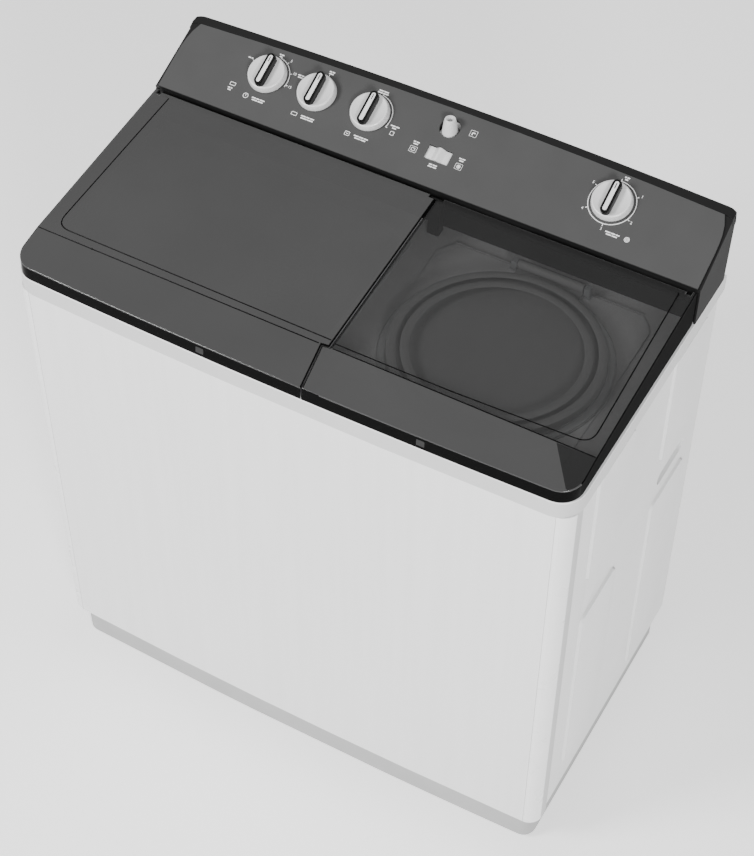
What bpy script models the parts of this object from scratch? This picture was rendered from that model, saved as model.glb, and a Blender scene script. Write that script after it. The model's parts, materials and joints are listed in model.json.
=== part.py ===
"""Twin tub washer: a wash tub and a spin tub side by side in one cabinet.

Metres, +Z up, +X to the user's right, the user stands at -Y.
The origin is on the floor, under the middle of the machine.
"""

import math

import bpy
from mathutils import Matrix, Vector

GAP = 0.0003  # between neighbouring pieces

# Driving dimensions of the whole machine
WIDTH = 0.870
HALF_WIDTH = WIDTH / 2
FRONT_Y = -0.2473  # rim front at its two ends
REAR_Y = 0.2392  # cabinet back
FRONT_BOW = 0.0081  # how far the middle of the front stands forward
FOOT_HEIGHT = 0.010
PLINTH_TOP = 0.0765
CABINET_TOP = 0.8231
DECK_Z = 0.8516  # top of the white top frame
CORNER_RADIUS = 0.036
RIM_CHAMFER = 0.0010

# Lids
FLAP_FRONT_Z = 0.8723
CREASE_Y, CREASE_Z = -0.1810, 0.8849
LID_REAR_Z = 0.9147
LID_BOTTOM_Z = DECK_Z + 0.0008
LID_INSET, LID_FRONT_INSET = 0.0037, 0.0007  # behind the rim at the sides and in front
SKIRT_LEAN = 0.0018  # how far the front skirt leans back
LID_WALL = 0.0025
SPLIT_X = 0.0401  # line between the two lids
FLAP_SPLIT_X = 0.0290  # the same line where the front flap starts
LID_GAP = 0.0010  # half the gap between the lids
JOG_GAP = 0.0015  # gap where that line steps sideways at the crease
HINGE_Y, HINGE_Z = 0.1177, 0.9075
BARREL_RADIUS = LID_REAR_Z - HINGE_Z
EYE_RADIUS = 0.0040
HINGE_PIN_RADIUS = 0.0020
HINGE_END = 0.012  # length at a lid's end that a bracket needs

# Sloping control panel: FACE_Y, FACE_Z is its lower front edge
FACE_Y, FACE_Z = 0.1272, 0.9175
FACE_SLOPE = math.radians(24)
FACE_LENGTH_END, FACE_LENGTH_MIDDLE = 0.113, 0.1245
FACE_HALF, FACE_CORNER = 0.4300, 0.0115  # half width, and what its upper corners lose
FACE_PLATE = 0.0022
CONSOLE_REAR_END, CONSOLE_REAR_MIDDLE = 0.2477, 0.2554
CONSOLE_WALL = 0.0027
CONSOLE_TOP_END, CONSOLE_TOP_MIDDLE = 0.9668, 0.9698
CONSOLE_CORNER_X, CONSOLE_CORNER_RADIUS = 0.4186, 0.019
CHEEK_REAR_Y = 0.2267
DIAL_S = 0.074  # distance of every dial up the face
DIALS = {"wash_timer": -0.281, "program": -0.198, "drain": -0.110, "spin_timer": 0.270}
DIAL_RADIUS = 0.0295
STEM_RADIUS = 0.004
SPIGOT_X, SPIGOT_S = 0.0085, 0.0945
SPIGOT_RECESS = 0.0155
SPIGOT_TOP_Z = 0.973
SLIDE_X, SLIDE_S = 0.0118, 0.0505
SLIDE_WINDOW = (0.037, 0.022)

# Tubs
WASH_X, WASH_Y = -0.190, -0.0600
WASH_HALF_X, WASH_HALF_Y = 0.205, 0.157
WASH_FLOOR_Z = 0.360
SPIN_X, SPIN_Y = 0.229, -0.0638
SPIN_TUB_RADIUS = 0.150
SPIN_TUB_FLOOR_Z = 0.410
BASKET_RADIUS = 0.1245
BASKET_TOP_Z, BASKET_FLOOR_Z = 0.822, 0.470
TUB_WALL = 0.0030

# Drives
PULLEY_Z = 0.245
WASH_PULLEY_RADIUS, MOTOR_PULLEY_RADIUS = 0.090, 0.030
WASH_MOTOR_X, WASH_MOTOR_Y = -0.345, 0.060
GROOVE = 0.0065  # depth of a pulley's groove
DRUM_Z0, DRUM_Z1, DRUM_RADIUS = 0.352, 0.388, 0.050
VALVE_X, VALVE_Y = DIALS["drain"], 0.165

MATERIALS = {
    "cabinet_white": ((0.62, 0.62, 0.62), 0.45, 0.0),
    "front_sheet": ((0.66, 0.66, 0.66), 0.38, 0.2),
    "plinth_grey": ((0.42, 0.42, 0.42), 0.6, 0.0),
    "smoke_plastic": ((0.06, 0.06, 0.06), 0.15, 0.0),
    "panel_black": ((0.02, 0.02, 0.02), 0.35, 0.0),
    "panel_grey": ((0.11, 0.11, 0.11), 0.4, 0.0),
    "silver_plastic": ((0.70, 0.70, 0.70), 0.35, 0.3),
    "grip_black": ((0.01, 0.01, 0.01), 0.35, 0.0),
    "tub_white": ((0.70, 0.71, 0.71), 0.4, 0.0),
    "steel": ((0.55, 0.55, 0.55), 0.3, 1.0),
    "motor_grey": ((0.25, 0.26, 0.27), 0.5, 0.6),
    "rubber": ((0.03, 0.03, 0.03), 0.8, 0.0),
    "aluminium": ((0.60, 0.60, 0.60), 0.4, 1.0),
    "inner_plastic": ((0.45, 0.46, 0.47), 0.5, 0.0),
}


def clear_scene():
    for old in list(bpy.data.objects):
        bpy.data.objects.remove(old, do_unlink=True)


def material(name):
    found = bpy.data.materials.get(name)
    if found:
        return found
    made = bpy.data.materials.new(name)
    made.use_nodes = True
    color, roughness, metallic = MATERIALS[name]
    shader = made.node_tree.nodes["Principled BSDF"]
    shader.inputs["Base Color"].default_value = (*color, 1.0)
    shader.inputs["Roughness"].default_value = roughness
    shader.inputs["Metallic"].default_value = metallic
    return made


def add(name, points, faces, finish, place=None, smooth=False):
    """Make one named object from points and faces, in metres."""
    mesh = bpy.data.meshes.new(name)
    mesh.from_pydata([tuple(point) for point in points], [], faces)
    mesh.validate()
    mesh.materials.append(material(finish))
    made = bpy.data.objects.new(name, mesh)
    bpy.context.collection.objects.link(made)
    if place is not None:
        made.matrix_world = place
    if smooth:
        mesh.shade_smooth()
        mesh.set_sharp_from_angle(angle=math.radians(35))
    return made


def loft_faces(rings, count, closed):
    """Quads between successive rings of equal size, with caps at both ends unless closed."""
    faces = []
    for ring in range(rings if closed else rings - 1):
        here, there = ring * count, (ring + 1) % rings * count
        for i in range(count):
            j = (i + 1) % count
            faces.append((here + i, here + j, there + j, there + i))
    if not closed:
        faces.append(tuple(reversed(range(count))))
        faces.append(tuple(range((rings - 1) * count, rings * count)))
    return faces


def loft(name, rings, finish, closed=False, **options):
    points = [point for ring in rings for point in ring]
    return add(name, points, loft_faces(len(rings), len(rings[0]), closed), finish, **options)


def turned_rings(profile, at, segments):
    """One ring of points about a vertical axis for each (radius, height) of the profile."""
    angles = [2 * math.pi * i / segments for i in range(segments)]
    return [[(at[0] + r * math.cos(a), at[1] + r * math.sin(a), z) for a in angles] for r, z in profile]


def turned(name, profile, finish, at=(0, 0), segments=32, place=None):
    """A turned piece with flat ends: the profile runs up its outside."""
    rings = turned_rings(profile, at, segments)
    return loft(name, rings, finish, smooth=True, place=place)


def turned_ring(name, profile, finish, at=(0, 0), segments=32, place=None):
    """A turned piece with a hole through it: the profile is a closed loop, up its outside."""
    rings = turned_rings(profile, at, segments)
    return loft(name, rings, finish, closed=True, smooth=True, place=place)


def prism(name, outline, low, high, finish, place=None, smooth=False):
    """Extrude an anticlockwise outline from low to high."""
    rings = [[(x, y, z) for x, y in outline] for z in (low, high)]
    return loft(name, rings, finish, place=place, smooth=smooth)


def box(name, low, high, finish, place=None):
    corners = [(low[0], low[1]), (high[0], low[1]), (high[0], high[1]), (low[0], high[1])]
    return prism(name, corners, low[2], high[2], finish, place)


def rounded_rectangle(x0, x1, y0, y1, radius, steps=4):
    """Anticlockwise outline with rounded corners."""
    points = []
    corners = ((x1, y0, -90), (x1, y1, 0), (x0, y1, 90), (x0, y0, 180))
    for x, y, start in corners:
        cx = x - radius if x == x1 else x + radius
        cy = y - radius if y == y1 else y + radius
        for i in range(steps + 1):
            angle = math.radians(start + 90 * i / steps)
            points.append((cx + radius * math.cos(angle), cy + radius * math.sin(angle)))
    return points


def bow(x):
    """How far the bowed front stands forward of its ends at x."""
    return FRONT_BOW * (1 - (x / HALF_WIDTH) ** 2)


def cabinet_outline(inset, steps=5, bays=10):
    """The machine's plan, anticlockwise, with a bowed front and rounded front corners."""
    half, front, rear = HALF_WIDTH - inset, FRONT_Y + inset, REAR_Y - inset
    radius = CORNER_RADIUS - inset
    points = []
    for i in range(bays + 1):
        x = (half - radius) * (2 * i / bays - 1)
        points.append((x, front - bow(x)))
    lift = bow(half - radius)
    for i in range(1, steps + 1):
        angle = math.radians(-90 + 90 * i / steps)
        y = front + radius + radius * math.sin(angle) - lift * (1 - i / steps)
        points.append((half - radius + radius * math.cos(angle), y))
    points.append((half, rear))
    points.append((-half, rear))
    for i in range(steps, 0, -1):
        angle = math.radians(-90 + 90 * i / steps)
        y = front + radius + radius * math.sin(angle) - lift * (1 - i / steps)
        points.append((-half + radius - radius * math.cos(angle), y))
    return points


def at_height(outline, z):
    return [(x, y, z) for x, y in outline]


def boolean(target, tool, operation):
    modifier = target.modifiers.new(operation.lower(), "BOOLEAN")
    modifier.operation = operation
    modifier.object = tool
    tool.hide_render = True
    tool.display_type = "WIRE"


def cut(target, *tools):
    for tool in tools:
        boolean(target, tool, "DIFFERENCE")


def unite(target, *tools):
    for tool in tools:
        boolean(target, tool, "UNION")


def cylinder_tool(name, radius, low, high, at=(0, 0), place=None, segments=24):
    return turned(name, [(radius, low), (radius, high)], "steel", at, segments, place)


def face_place(x, s, turn=0.0):
    """A frame on the control face: X across, Y up the slope, Z out of the face."""
    origin = Vector((x, FACE_Y + s * math.cos(FACE_SLOPE), FACE_Z + s * math.sin(FACE_SLOPE)))
    tilt = Matrix.Rotation(FACE_SLOPE, 4, "X")
    return Matrix.Translation(origin) @ tilt @ Matrix.Rotation(turn, 4, "Z")


def face_point(s, depth=0.0):
    """(y, z) at distance s up the face and depth below it."""
    along, normal = math.cos(FACE_SLOPE), math.sin(FACE_SLOPE)
    return (FACE_Y + s * along + depth * normal, FACE_Z + s * normal - depth * along)


# ---------------------------------------------------------------- base and cabinet


def base():
    inset, wall = 0.0160, 0.0030
    floor_top = FOOT_HEIGHT + 0.0035
    loft(
        "base_plinth",
        [
            at_height(cabinet_outline(inset), FOOT_HEIGHT),
            at_height(cabinet_outline(inset), PLINTH_TOP - GAP),
            at_height(cabinet_outline(inset + wall), PLINTH_TOP - GAP),
            at_height(cabinet_outline(inset + wall), floor_top),
        ],
        "plinth_grey",
    )
    feet = {"front_left": (-1, -1), "front_right": (1, -1), "rear_left": (-1, 1), "rear_right": (1, 1)}
    for name, (side, end) in feet.items():
        profile = [(0.019, 0), (0.022, 0.003), (0.022, 0.006), (0.016, FOOT_HEIGHT - GAP)]
        turned("foot_" + name, profile, "rubber", at=(side * 0.365, end * 0.185), segments=16)


PILLAR_INSET = 0.0026  # corner pillar behind the rim
SIDE_INSET = 0.0070  # flat of the side behind the rim
SIDE_SKIN = 0.0026
PILLAR_FRONT_X = 0.4096
PILLAR_REAR_Y = FRONT_Y + 0.036
PANEL_BOTTOM, PANEL_TOP = PLINTH_TOP, CABINET_TOP - GAP
HANDLE_Y, HANDLE_Z = (0.0962, 0.1897), (0.5332, 0.5582)
HANDLE_DEPTH = 0.020
RELIEF = {  # raised fields on each side: (y0, y1, z0, z1)
    "upper_front": (-0.158, -0.042, 0.595, CABINET_TOP - 0.012),
    "lower_front": (-0.158, -0.042, 0.135, 0.510),
    "upper_rear": (0.086, 0.198, 0.597, CABINET_TOP - 0.012),
    "lower_rear": (0.079, 0.197, 0.104, 0.508),
}
RELIEF_HEIGHT, RELIEF_SLOPE = 0.0040, 0.0020


def front_panel():
    bays, skin = 12, 0.0016
    half = PILLAR_FRONT_X - GAP
    xs = [half * (2 * i / bays - 1) for i in range(bays + 1)]
    outer = [(x, FRONT_Y + PILLAR_INSET - bow(x)) for x in xs]
    inner = [(x, FRONT_Y + PILLAR_INSET + skin - bow(x)) for x in reversed(xs)]
    prism("front_panel", outer + inner, PANEL_BOTTOM, PANEL_TOP, "front_sheet")


def side_outline(side, skin):
    """Plan of one side: corner pillar, step in, flat side and a rear return."""
    out_x = HALF_WIDTH - PILLAR_INSET
    flat_x = HALF_WIDTH - SIDE_INSET
    front = FRONT_Y + PILLAR_INSET
    radius = out_x - PILLAR_FRONT_X
    arc = []
    for i in range(7):
        angle = math.radians(-90 + 90 * i / 6)
        lift = bow(PILLAR_FRONT_X) * (1 - i / 6)
        arc.append((PILLAR_FRONT_X, front, radius, angle, lift))
    outer = [(x + r * math.cos(a), y + r + r * math.sin(a) - lift) for x, y, r, a, lift in arc]
    outer += [(out_x, PILLAR_REAR_Y), (flat_x, PILLAR_REAR_Y + 0.006), (flat_x, REAR_Y)]
    outer += [(flat_x - 0.018, REAR_Y), (flat_x - 0.018, REAR_Y - skin)]
    inner = [(flat_x - skin, REAR_Y - skin), (flat_x - skin, PILLAR_REAR_Y + 0.006)]
    inner += [(out_x - 2 * skin, PILLAR_REAR_Y)]
    inner += [
        (x + (r - skin) * math.cos(a), y + r + (r - skin) * math.sin(a) - lift)
        for x, y, r, a, lift in reversed(arc)
    ]
    points = outer + inner
    if side < 0:
        points = [(-x, y) for x, y in reversed(points)]
    return points


def side_block(name, side, field, radius, depths, inset_top=0.0):
    """A block on a side wall between two distances from the middle of the machine."""
    y0, y1, z0, z1 = field
    steps = 5 if radius > 0.01 else 3
    low = rounded_rectangle(y0, y1, z0, z1, radius, steps)
    high = rounded_rectangle(
        y0 + inset_top, y1 - inset_top, z0 + inset_top, z1 - inset_top, radius - inset_top * 0.5, steps
    )
    rings = []
    for outline, distance in ((low, depths[0]), (high, depths[1])):
        ring = [(side * distance, y, z) for y, z in outline]
        rings.append(ring if side > 0 else list(reversed(ring)))
    return loft(name, rings, "cabinet_white")


def side_panel(name, side):
    panel = prism(name, side_outline(side, SIDE_SKIN), PANEL_BOTTOM, PANEL_TOP, "cabinet_white")
    flat_x = HALF_WIDTH - SIDE_INSET
    for field_name, field in RELIEF.items():
        depths = (flat_x - 0.0013, flat_x + RELIEF_HEIGHT)
        unite(panel, side_block(f"{name}_{field_name}", side, field, 0.012, depths, RELIEF_SLOPE))
    wall = 0.0026
    pocket = (*HANDLE_Y, *HANDLE_Z)
    around = (pocket[0] - wall, pocket[1] + wall, pocket[2] - wall, pocket[3] + wall)
    depth = (flat_x - HANDLE_DEPTH - wall, flat_x - 0.0008)
    boss = side_block(f"{name}_boss", side, around, 0.0124 + wall, depth)
    unite(panel, boss)
    cut(panel, side_block(f"{name}_pocket", side, pocket, 0.0124, (flat_x - HANDLE_DEPTH, flat_x + 0.02)))


HOSE_X, HOSE_RADIUS, HOSE_OUT_Z = 0.330, 0.0105, 0.140
BACK_RECESS = 0.026


def back_ring(inset, y):
    """An outline of the back cover at depth y, going round so that the loft runs towards -Y."""
    half = HALF_WIDTH - SIDE_INSET - 0.018 - 2 * GAP
    low, high = PANEL_BOTTOM + GAP, PANEL_TOP - GAP
    outline = rounded_rectangle(-half + inset, half - inset, low + inset, high - inset, 0.010, 2)
    return [(x, y, z) for x, z in reversed(outline)]


def back_cover():
    skin = 0.0020
    dish = REAR_Y - BACK_RECESS
    cover = loft(
        "back_cover",
        [
            back_ring(0.024, dish - skin),
            back_ring(0.014 - skin, REAR_Y - skin),
            back_ring(0, REAR_Y - skin),
            back_ring(0, REAR_Y),
            back_ring(0.014, REAR_Y),
            back_ring(0.024 + skin, dish),
        ],
        "cabinet_white",
    )
    along_y = Matrix.Rotation(math.radians(-90), 4, "X")
    for tool_name, x, z, radius in (
        ("hose_hole", HOSE_X, HOSE_OUT_Z, HOSE_RADIUS + 0.002),
        ("cord_hole", -0.330, 0.140, 0.009),
    ):
        place = Matrix.Translation((x, dish - 0.02, z)) @ along_y
        cut(cover, cylinder_tool(tool_name, radius, 0, 0.04, place=place))
    gland_place = Matrix.Translation((-0.330, dish, 0.140)) @ along_y
    profile = [(0.0085, -0.008), (0.0085, GAP), (0.014, GAP), (0.013, 0.006), (0.007, 0.018)]
    turned("cord_gland", profile, "rubber", place=gland_place, segments=16)


def top_frame():
    deck = 0.0040
    frame = loft(
        "top_frame",
        [
            at_height(cabinet_outline(0.0040), DECK_Z - deck),
            at_height(cabinet_outline(0.0040), CABINET_TOP),
            at_height(cabinet_outline(0), CABINET_TOP),
            at_height(cabinet_outline(0), DECK_Z - RIM_CHAMFER),
            at_height(cabinet_outline(RIM_CHAMFER), DECK_Z),
        ],
        "cabinet_white",
    )
    low, high = CABINET_TOP - 0.02, DECK_Z + 0.02
    clear = 0.0015
    opening = rounded_rectangle(
        WASH_X - WASH_HALF_X - clear,
        WASH_X + WASH_HALF_X + clear,
        WASH_Y - WASH_HALF_Y - clear,
        WASH_Y + WASH_HALF_Y + clear,
        0.045,
        5,
    )
    cut(frame, prism("wash_opening_tool", opening, low, high, "steel"))
    spin = (SPIN_X, SPIN_Y)
    cut(frame, cylinder_tool("spin_opening_tool", SPIN_TUB_RADIUS + clear, low, high, spin, segments=40))
    rod = (VALVE_X, VALVE_Y)
    cut(frame, cylinder_tool("rod_hole_tool", 0.006, low, high, rod, segments=12))


# ---------------------------------------------------------------- tubs and what turns in them


def wash_ring(grow, z, radius=0.045):
    outline = rounded_rectangle(
        WASH_X - WASH_HALF_X - grow,
        WASH_X + WASH_HALF_X + grow,
        WASH_Y - WASH_HALF_Y - grow,
        WASH_Y + WASH_HALF_Y + grow,
        radius,
        5,
    )
    return at_height(outline, z)


def wash_tub():
    flange_low = DECK_Z + GAP
    flange_high = flange_low + 0.0030
    taper = 0.008
    tub = loft(
        "wash_tub",
        [
            wash_ring(-taper - 0.012, WASH_FLOOR_Z - TUB_WALL),
            wash_ring(-taper, WASH_FLOOR_Z + 0.014 - TUB_WALL),
            wash_ring(0, flange_low),
            wash_ring(0.010, flange_low),
            wash_ring(0.010, flange_high),
            wash_ring(-TUB_WALL, flange_high),
            wash_ring(-taper - TUB_WALL, WASH_FLOOR_Z + 0.014),
            wash_ring(-taper - 0.012 - TUB_WALL, WASH_FLOOR_Z),
        ],
        "tub_white",
        smooth=True,
    )
    centre = (WASH_X, WASH_Y)
    low, high = WASH_FLOOR_Z - 0.02, WASH_FLOOR_Z + 0.02
    cut(tub, cylinder_tool("pulsator_hole_tool", 0.013, low, high, centre, segments=20))
    cut(tub, cylinder_tool("drain_hole_tool", 0.012, low, high, (VALVE_X, 0.062), segments=16))


def pulsator():
    """A dished disc with six blades, as a height field in polar steps."""
    radius, spokes, turns = 0.130, 8, 36
    low = 0.0040
    place = Matrix.Translation((WASH_X, WASH_Y, WASH_FLOOR_Z))
    points, faces = [], []
    for ring in range(1, spokes + 1):
        share = ring / spokes
        for i in range(turns):
            angle = 2 * math.pi * i / turns
            blade = max(0.0, math.cos(6 * angle)) ** 2 * math.sin(math.pi * min(1.0, share * 1.02)) ** 0.8
            hub = 0.030 * math.exp(-((share / 0.28) ** 2))
            top = low + 0.008 + 0.010 * share**3 + 0.026 * blade + hub
            points.append((radius * share * math.cos(angle), radius * share * math.sin(angle), top))
    for ring in range(spokes - 1):
        for i in range(turns):
            j = (i + 1) % turns
            here, there = ring * turns, (ring + 1) * turns
            faces.append((here + i, there + i, there + j, here + j))
    crown = len(points)
    points.append((0, 0, low + 0.040))
    for i in range(turns):
        faces.append((crown, i, (i + 1) % turns))
    bottom = len(points)
    for i in range(turns):
        angle = 2 * math.pi * i / turns
        points.append((radius * math.cos(angle), radius * math.sin(angle), low))
    rim = (spokes - 1) * turns
    for i in range(turns):
        j = (i + 1) % turns
        faces.append((rim + i, bottom + i, bottom + j, rim + j))
    faces.append(tuple(bottom + i for i in reversed(range(turns))))
    add("pulsator", points, faces, "tub_white", place, smooth=True)


def wash_drive():
    centre = (WASH_X, WASH_Y)
    shaft = 0.0075
    turned(
        "pulsator_shaft",
        [(shaft, PULLEY_Z - 0.016), (shaft, WASH_FLOOR_Z + 0.004 - GAP)],
        "steel",
        centre,
        16,
    )
    housing_top = WASH_FLOOR_Z - TUB_WALL - GAP
    bore = shaft + GAP
    turned_ring(
        "pulsator_bearing_housing",
        [
            (bore, housing_top - 0.085),
            (0.030, housing_top - 0.085),
            (0.034, housing_top - 0.050),
            (0.046, housing_top - 0.012),
            (0.062, housing_top - 0.008),
            (0.062, housing_top),
            (bore, housing_top),
        ],
        "aluminium",
        centre,
        24,
    )
    pulley("wash_pulley", WASH_PULLEY_RADIUS, centre, 24, shaft + GAP)
    motor = (WASH_MOTOR_X, WASH_MOTOR_Y)
    z, r = PULLEY_Z, MOTOR_PULLEY_RADIUS
    turned(
        "motor_pulley",
        [
            (0.006, 0.2075 + GAP),
            (0.006, z - 0.012),
            (0.014, z - 0.012),
            (0.014, z - 0.007),
            (r, z - 0.007),
            (r - GROOVE, z),
            (r, z + 0.007),
            (0.014, z + 0.007),
            (0.014, z + 0.012),
            (0.006, z + 0.012),
            (0.006, z + 0.015),
        ],
        "aluminium",
        motor,
        16,
    )
    turned(
        "wash_motor",
        [
            (0.040, 0.0135 + GAP),
            (0.040, 0.085),
            (0.056, 0.090),
            (0.060, 0.105),
            (0.060, 0.180),
            (0.054, 0.195),
            (0.026, 0.198),
            (0.022, 0.2075),
        ],
        "motor_grey",
        motor,
        24,
    )
    drive_belt(centre, motor)


def pulley(name, radius, centre, segments, bore):
    half = 0.0070
    z = PULLEY_Z
    turned_ring(
        name,
        [
            (bore, z - 0.010),
            (0.016, z - 0.010),
            (0.016, z - 0.004),
            (radius - 0.014, z - 0.004),
            (radius - 0.010, z - half),
            (radius, z - half),
            (radius - GROOVE, z),
            (radius, z + half),
            (radius - 0.010, z + half),
            (radius - 0.014, z + 0.004),
            (0.016, z + 0.004),
            (0.016, z + 0.010),
            (bore, z + 0.010),
        ],
        "aluminium",
        centre,
        segments,
    )


def belt_path(centre_a, radius_a, centre_b, radius_b, steps=14):
    """The loop of a belt round two pulleys, anticlockwise, as (point, outward direction) pairs."""
    a, b = Vector(centre_a), Vector(centre_b)
    line = b - a
    heading = math.atan2(line.y, line.x)
    lean = math.acos((radius_a - radius_b) / line.length)
    path = []
    for i in range(steps + 1):
        angle = heading + lean + (2 * math.pi - 2 * lean) * i / steps
        path.append((a, radius_a, angle))
    for i in range(steps // 2 + 1):
        angle = heading - lean + 2 * lean * i / (steps // 2)
        path.append((b, radius_b, angle))
    rays = [(c, r, Vector((math.cos(t), math.sin(t)))) for c, r, t in path]
    return [(c + ray * r, ray) for c, r, ray in rays]


def drive_belt(centre, motor):
    sit = 0.0032  # how far outside the groove's bottom the belt's inner face runs
    inner_a = WASH_PULLEY_RADIUS - GROOVE + sit
    inner_b = MOTOR_PULLEY_RADIUS - GROOVE + sit
    section = ((0, 0.0018), (0.0050, 0.0048), (0.0050, -0.0048), (0, -0.0018))
    path = belt_path(centre, inner_a, motor, inner_b)
    rings = [
        [(p.x + d.x * out, p.y + d.y * out, PULLEY_Z + up) for out, up in section]
        for p, d in path
    ]
    loft("drive_belt", rings, "rubber", closed=True, smooth=True)


def lint_filter():
    rear = WASH_Y + WASH_HALF_Y - TUB_WALL - 0.009
    box("lint_filter", (WASH_X - 0.045, rear - 0.018, 0.560), (WASH_X + 0.045, rear, 0.740), "inner_plastic")


def spin_tub():
    flange_low = DECK_Z + GAP
    flange_high = flange_low + 0.0030
    centre = (SPIN_X, SPIN_Y)
    r, wall, floor = SPIN_TUB_RADIUS, TUB_WALL, SPIN_TUB_FLOOR_Z
    turned_ring(
        "spin_tub",
        [
            (0.046, floor - wall),
            (r - 0.014, floor - wall),
            (r, floor + 0.011),
            (r, flange_low),
            (r + 0.010, flange_low),
            (r + 0.010, flange_high),
            (r - wall, flange_high),
            (r - wall, floor + 0.014),
            (r - wall - 0.014, floor),
            (0.046, floor),
        ],
        "tub_white",
        centre,
        40,
    )
    seat = flange_high + GAP
    turned_ring(
        "spin_tub_ring",
        [
            (0.1460, seat),
            (0.1585, seat),
            (0.1585, seat + 0.0020),
            (0.1455, seat + 0.0020),
            (0.1385, seat - 0.0060),
            (0.1290, 0.8290),
            (0.1290, 0.8265),
            (0.1315, 0.8265),
            (0.1410, seat - 0.0085),
        ],
        "tub_white",
        centre,
        40,
    )


def spin_basket():
    centre = (SPIN_X, SPIN_Y)
    r, top, floor = BASKET_RADIUS, BASKET_TOP_Z, BASKET_FLOOR_Z
    turned_ring(
        "spin_basket",
        [
            (0.0095, floor - 0.020),
            (0.030, floor - 0.020),
            (0.036, floor - 0.003),
            (r - 0.020, floor - 0.003),
            (r - 0.0050, floor + 0.010),
            (r - 0.0035, top - 0.030),
            (r, top - 0.028),
            (r, top - 0.002),
            (r - 0.004, top),
            (r - 0.010, top - 0.002),
            (r - 0.012, top - 0.028),
            (r - 0.0060, top - 0.033),
            (r - 0.0075, floor + 0.012),
            (r - 0.022, floor),
            (0.040, floor),
            (0.030, floor + 0.022),
            (0.0095, floor + 0.026),
        ],
        "steel",
        centre,
        32,
    )
    turned(
        "spin_shaft",
        [
            (0.008, 0.3455),
            (0.020, 0.3455),
            (0.020, DRUM_Z0),
            (DRUM_RADIUS, DRUM_Z0),
            (DRUM_RADIUS, DRUM_Z1),
            (0.012, DRUM_Z1 + 0.004),
            (0.009, DRUM_Z1 + 0.006),
            (0.009, BASKET_FLOOR_Z + 0.030),
        ],
        "steel",
        centre,
        24,
    )
    seal_inner = 0.009 + GAP
    turned_ring(
        "spin_seal",
        [
            (seal_inner, 0.3955),
            (0.016, 0.3955),
            (0.022, 0.4000),
            (0.030, 0.3950),
            (0.040, 0.4010),
            (0.0457, 0.4010),
            (0.0457, 0.4100),
            (0.056, 0.4104),
            (0.056, 0.4130),
            (0.038, 0.4130),
            (0.028, 0.4070),
            (0.018, 0.4180),
            (seal_inner, 0.4180),
        ],
        "rubber",
        centre,
        18,
    )


def spin_motor():
    centre = (SPIN_X, SPIN_Y)
    plate = 0.0040
    motor = turned(
        "spin_motor",
        [
            (0.045, 0.176),
            (0.098, 0.176),
            (0.098, 0.176 + plate),
            (0.062, 0.182 + plate),
            (0.064, 0.300),
            (0.056, 0.318),
            (0.094, 0.320),
            (0.094, 0.320 + plate),
            (0.022, 0.326),
            (0.012, 0.345),
        ],
        "motor_grey",
        centre,
        24,
    )
    pin = [(0.006, 0.3215), (0.006, 0.3580), (BRAKE_PIN_RADIUS, 0.3580), (BRAKE_PIN_RADIUS, 0.3870)]
    unite(motor, turned("brake_pin", pin, "steel", BRAKE_PIVOT, 16))
    bottom, top = 0.0135 + GAP, 0.176 - GAP
    folds = 4
    profile = [(0.020, bottom), (0.028, bottom), (0.028, bottom + 0.020)]
    pitch = (top - bottom - 0.030) / folds
    for i in range(folds):
        z = bottom + 0.022 + i * pitch
        profile += [(0.019, z + 0.2 * pitch), (0.024, z + 0.6 * pitch)]
    profile += [(0.020, top - 0.004), (0.018, top)]
    for i, place in enumerate(("front", "left", "right")):
        angle = math.radians(-90 + 120 * i)
        at = (SPIN_X + 0.072 * math.cos(angle), SPIN_Y + 0.072 * math.sin(angle))
        turned("spring_boot_" + place, profile, "rubber", at, 12)


BRAKE_PIN_RADIUS = 0.003
BRAKE_PIVOT_RADIUS, BRAKE_START = 0.0730, math.radians(-8)
BRAKE_PIVOT = (
    SPIN_X + BRAKE_PIVOT_RADIUS * math.cos(BRAKE_START),
    SPIN_Y + BRAKE_PIVOT_RADIUS * math.sin(BRAKE_START),
)


def brake():
    """A shoe round part of the brake drum, on an eye that turns on a pin standing on the motor."""
    inner, outer = DRUM_RADIUS + 0.0030, DRUM_RADIUS + 0.0130
    arc = [BRAKE_START + math.radians(100) * i / 10 for i in range(11)]
    shoe = [(SPIN_X + outer * math.cos(a), SPIN_Y + outer * math.sin(a)) for a in arc]
    shoe += [(SPIN_X + inner * math.cos(a), SPIN_Y + inner * math.sin(a)) for a in reversed(arc)]
    lever = prism("brake_lever", shoe, 0.3600, 0.3800, "steel")
    px, py = BRAKE_PIVOT
    unite(lever, cylinder_tool("brake_eye", 0.0125, 0.3590, 0.3810, BRAKE_PIVOT, segments=20))
    arm = [(px + 0.004, py - 0.045), (px + 0.012, py - 0.045), (px + 0.010, py), (px, py)]
    unite(lever, prism("brake_arm", arm, 0.3650, 0.3750, "steel"))
    cut(lever, cylinder_tool("brake_bore", BRAKE_PIN_RADIUS + GAP, 0.34, 0.40, BRAKE_PIVOT, segments=16))


# ---------------------------------------------------------------- drain


def drain():
    at = (VALVE_X, VALVE_Y)
    turned_ring(
        "drain_valve_body",
        [
            (0.0205, 0.130),
            (0.024, 0.130),
            (0.024, 0.195),
            (0.027, 0.195),
            (0.027, 0.204),
            (0.006, 0.204),
            (0.006, 0.199),
            (0.0205, 0.199),
        ],
        "inner_plastic",
        at,
        20,
    )
    plunger = [(0.0185, 0.138), (0.0185, 0.144), (0.010, 0.150), (0.010, 0.178), (0.004, 0.182)]
    plunger += [(0.004, 0.216), (0.0025, 0.219), (0.0025, 0.8800)]
    turned("drain_plunger", plunger, "rubber", at, 12)
    drain_hose()


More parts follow.
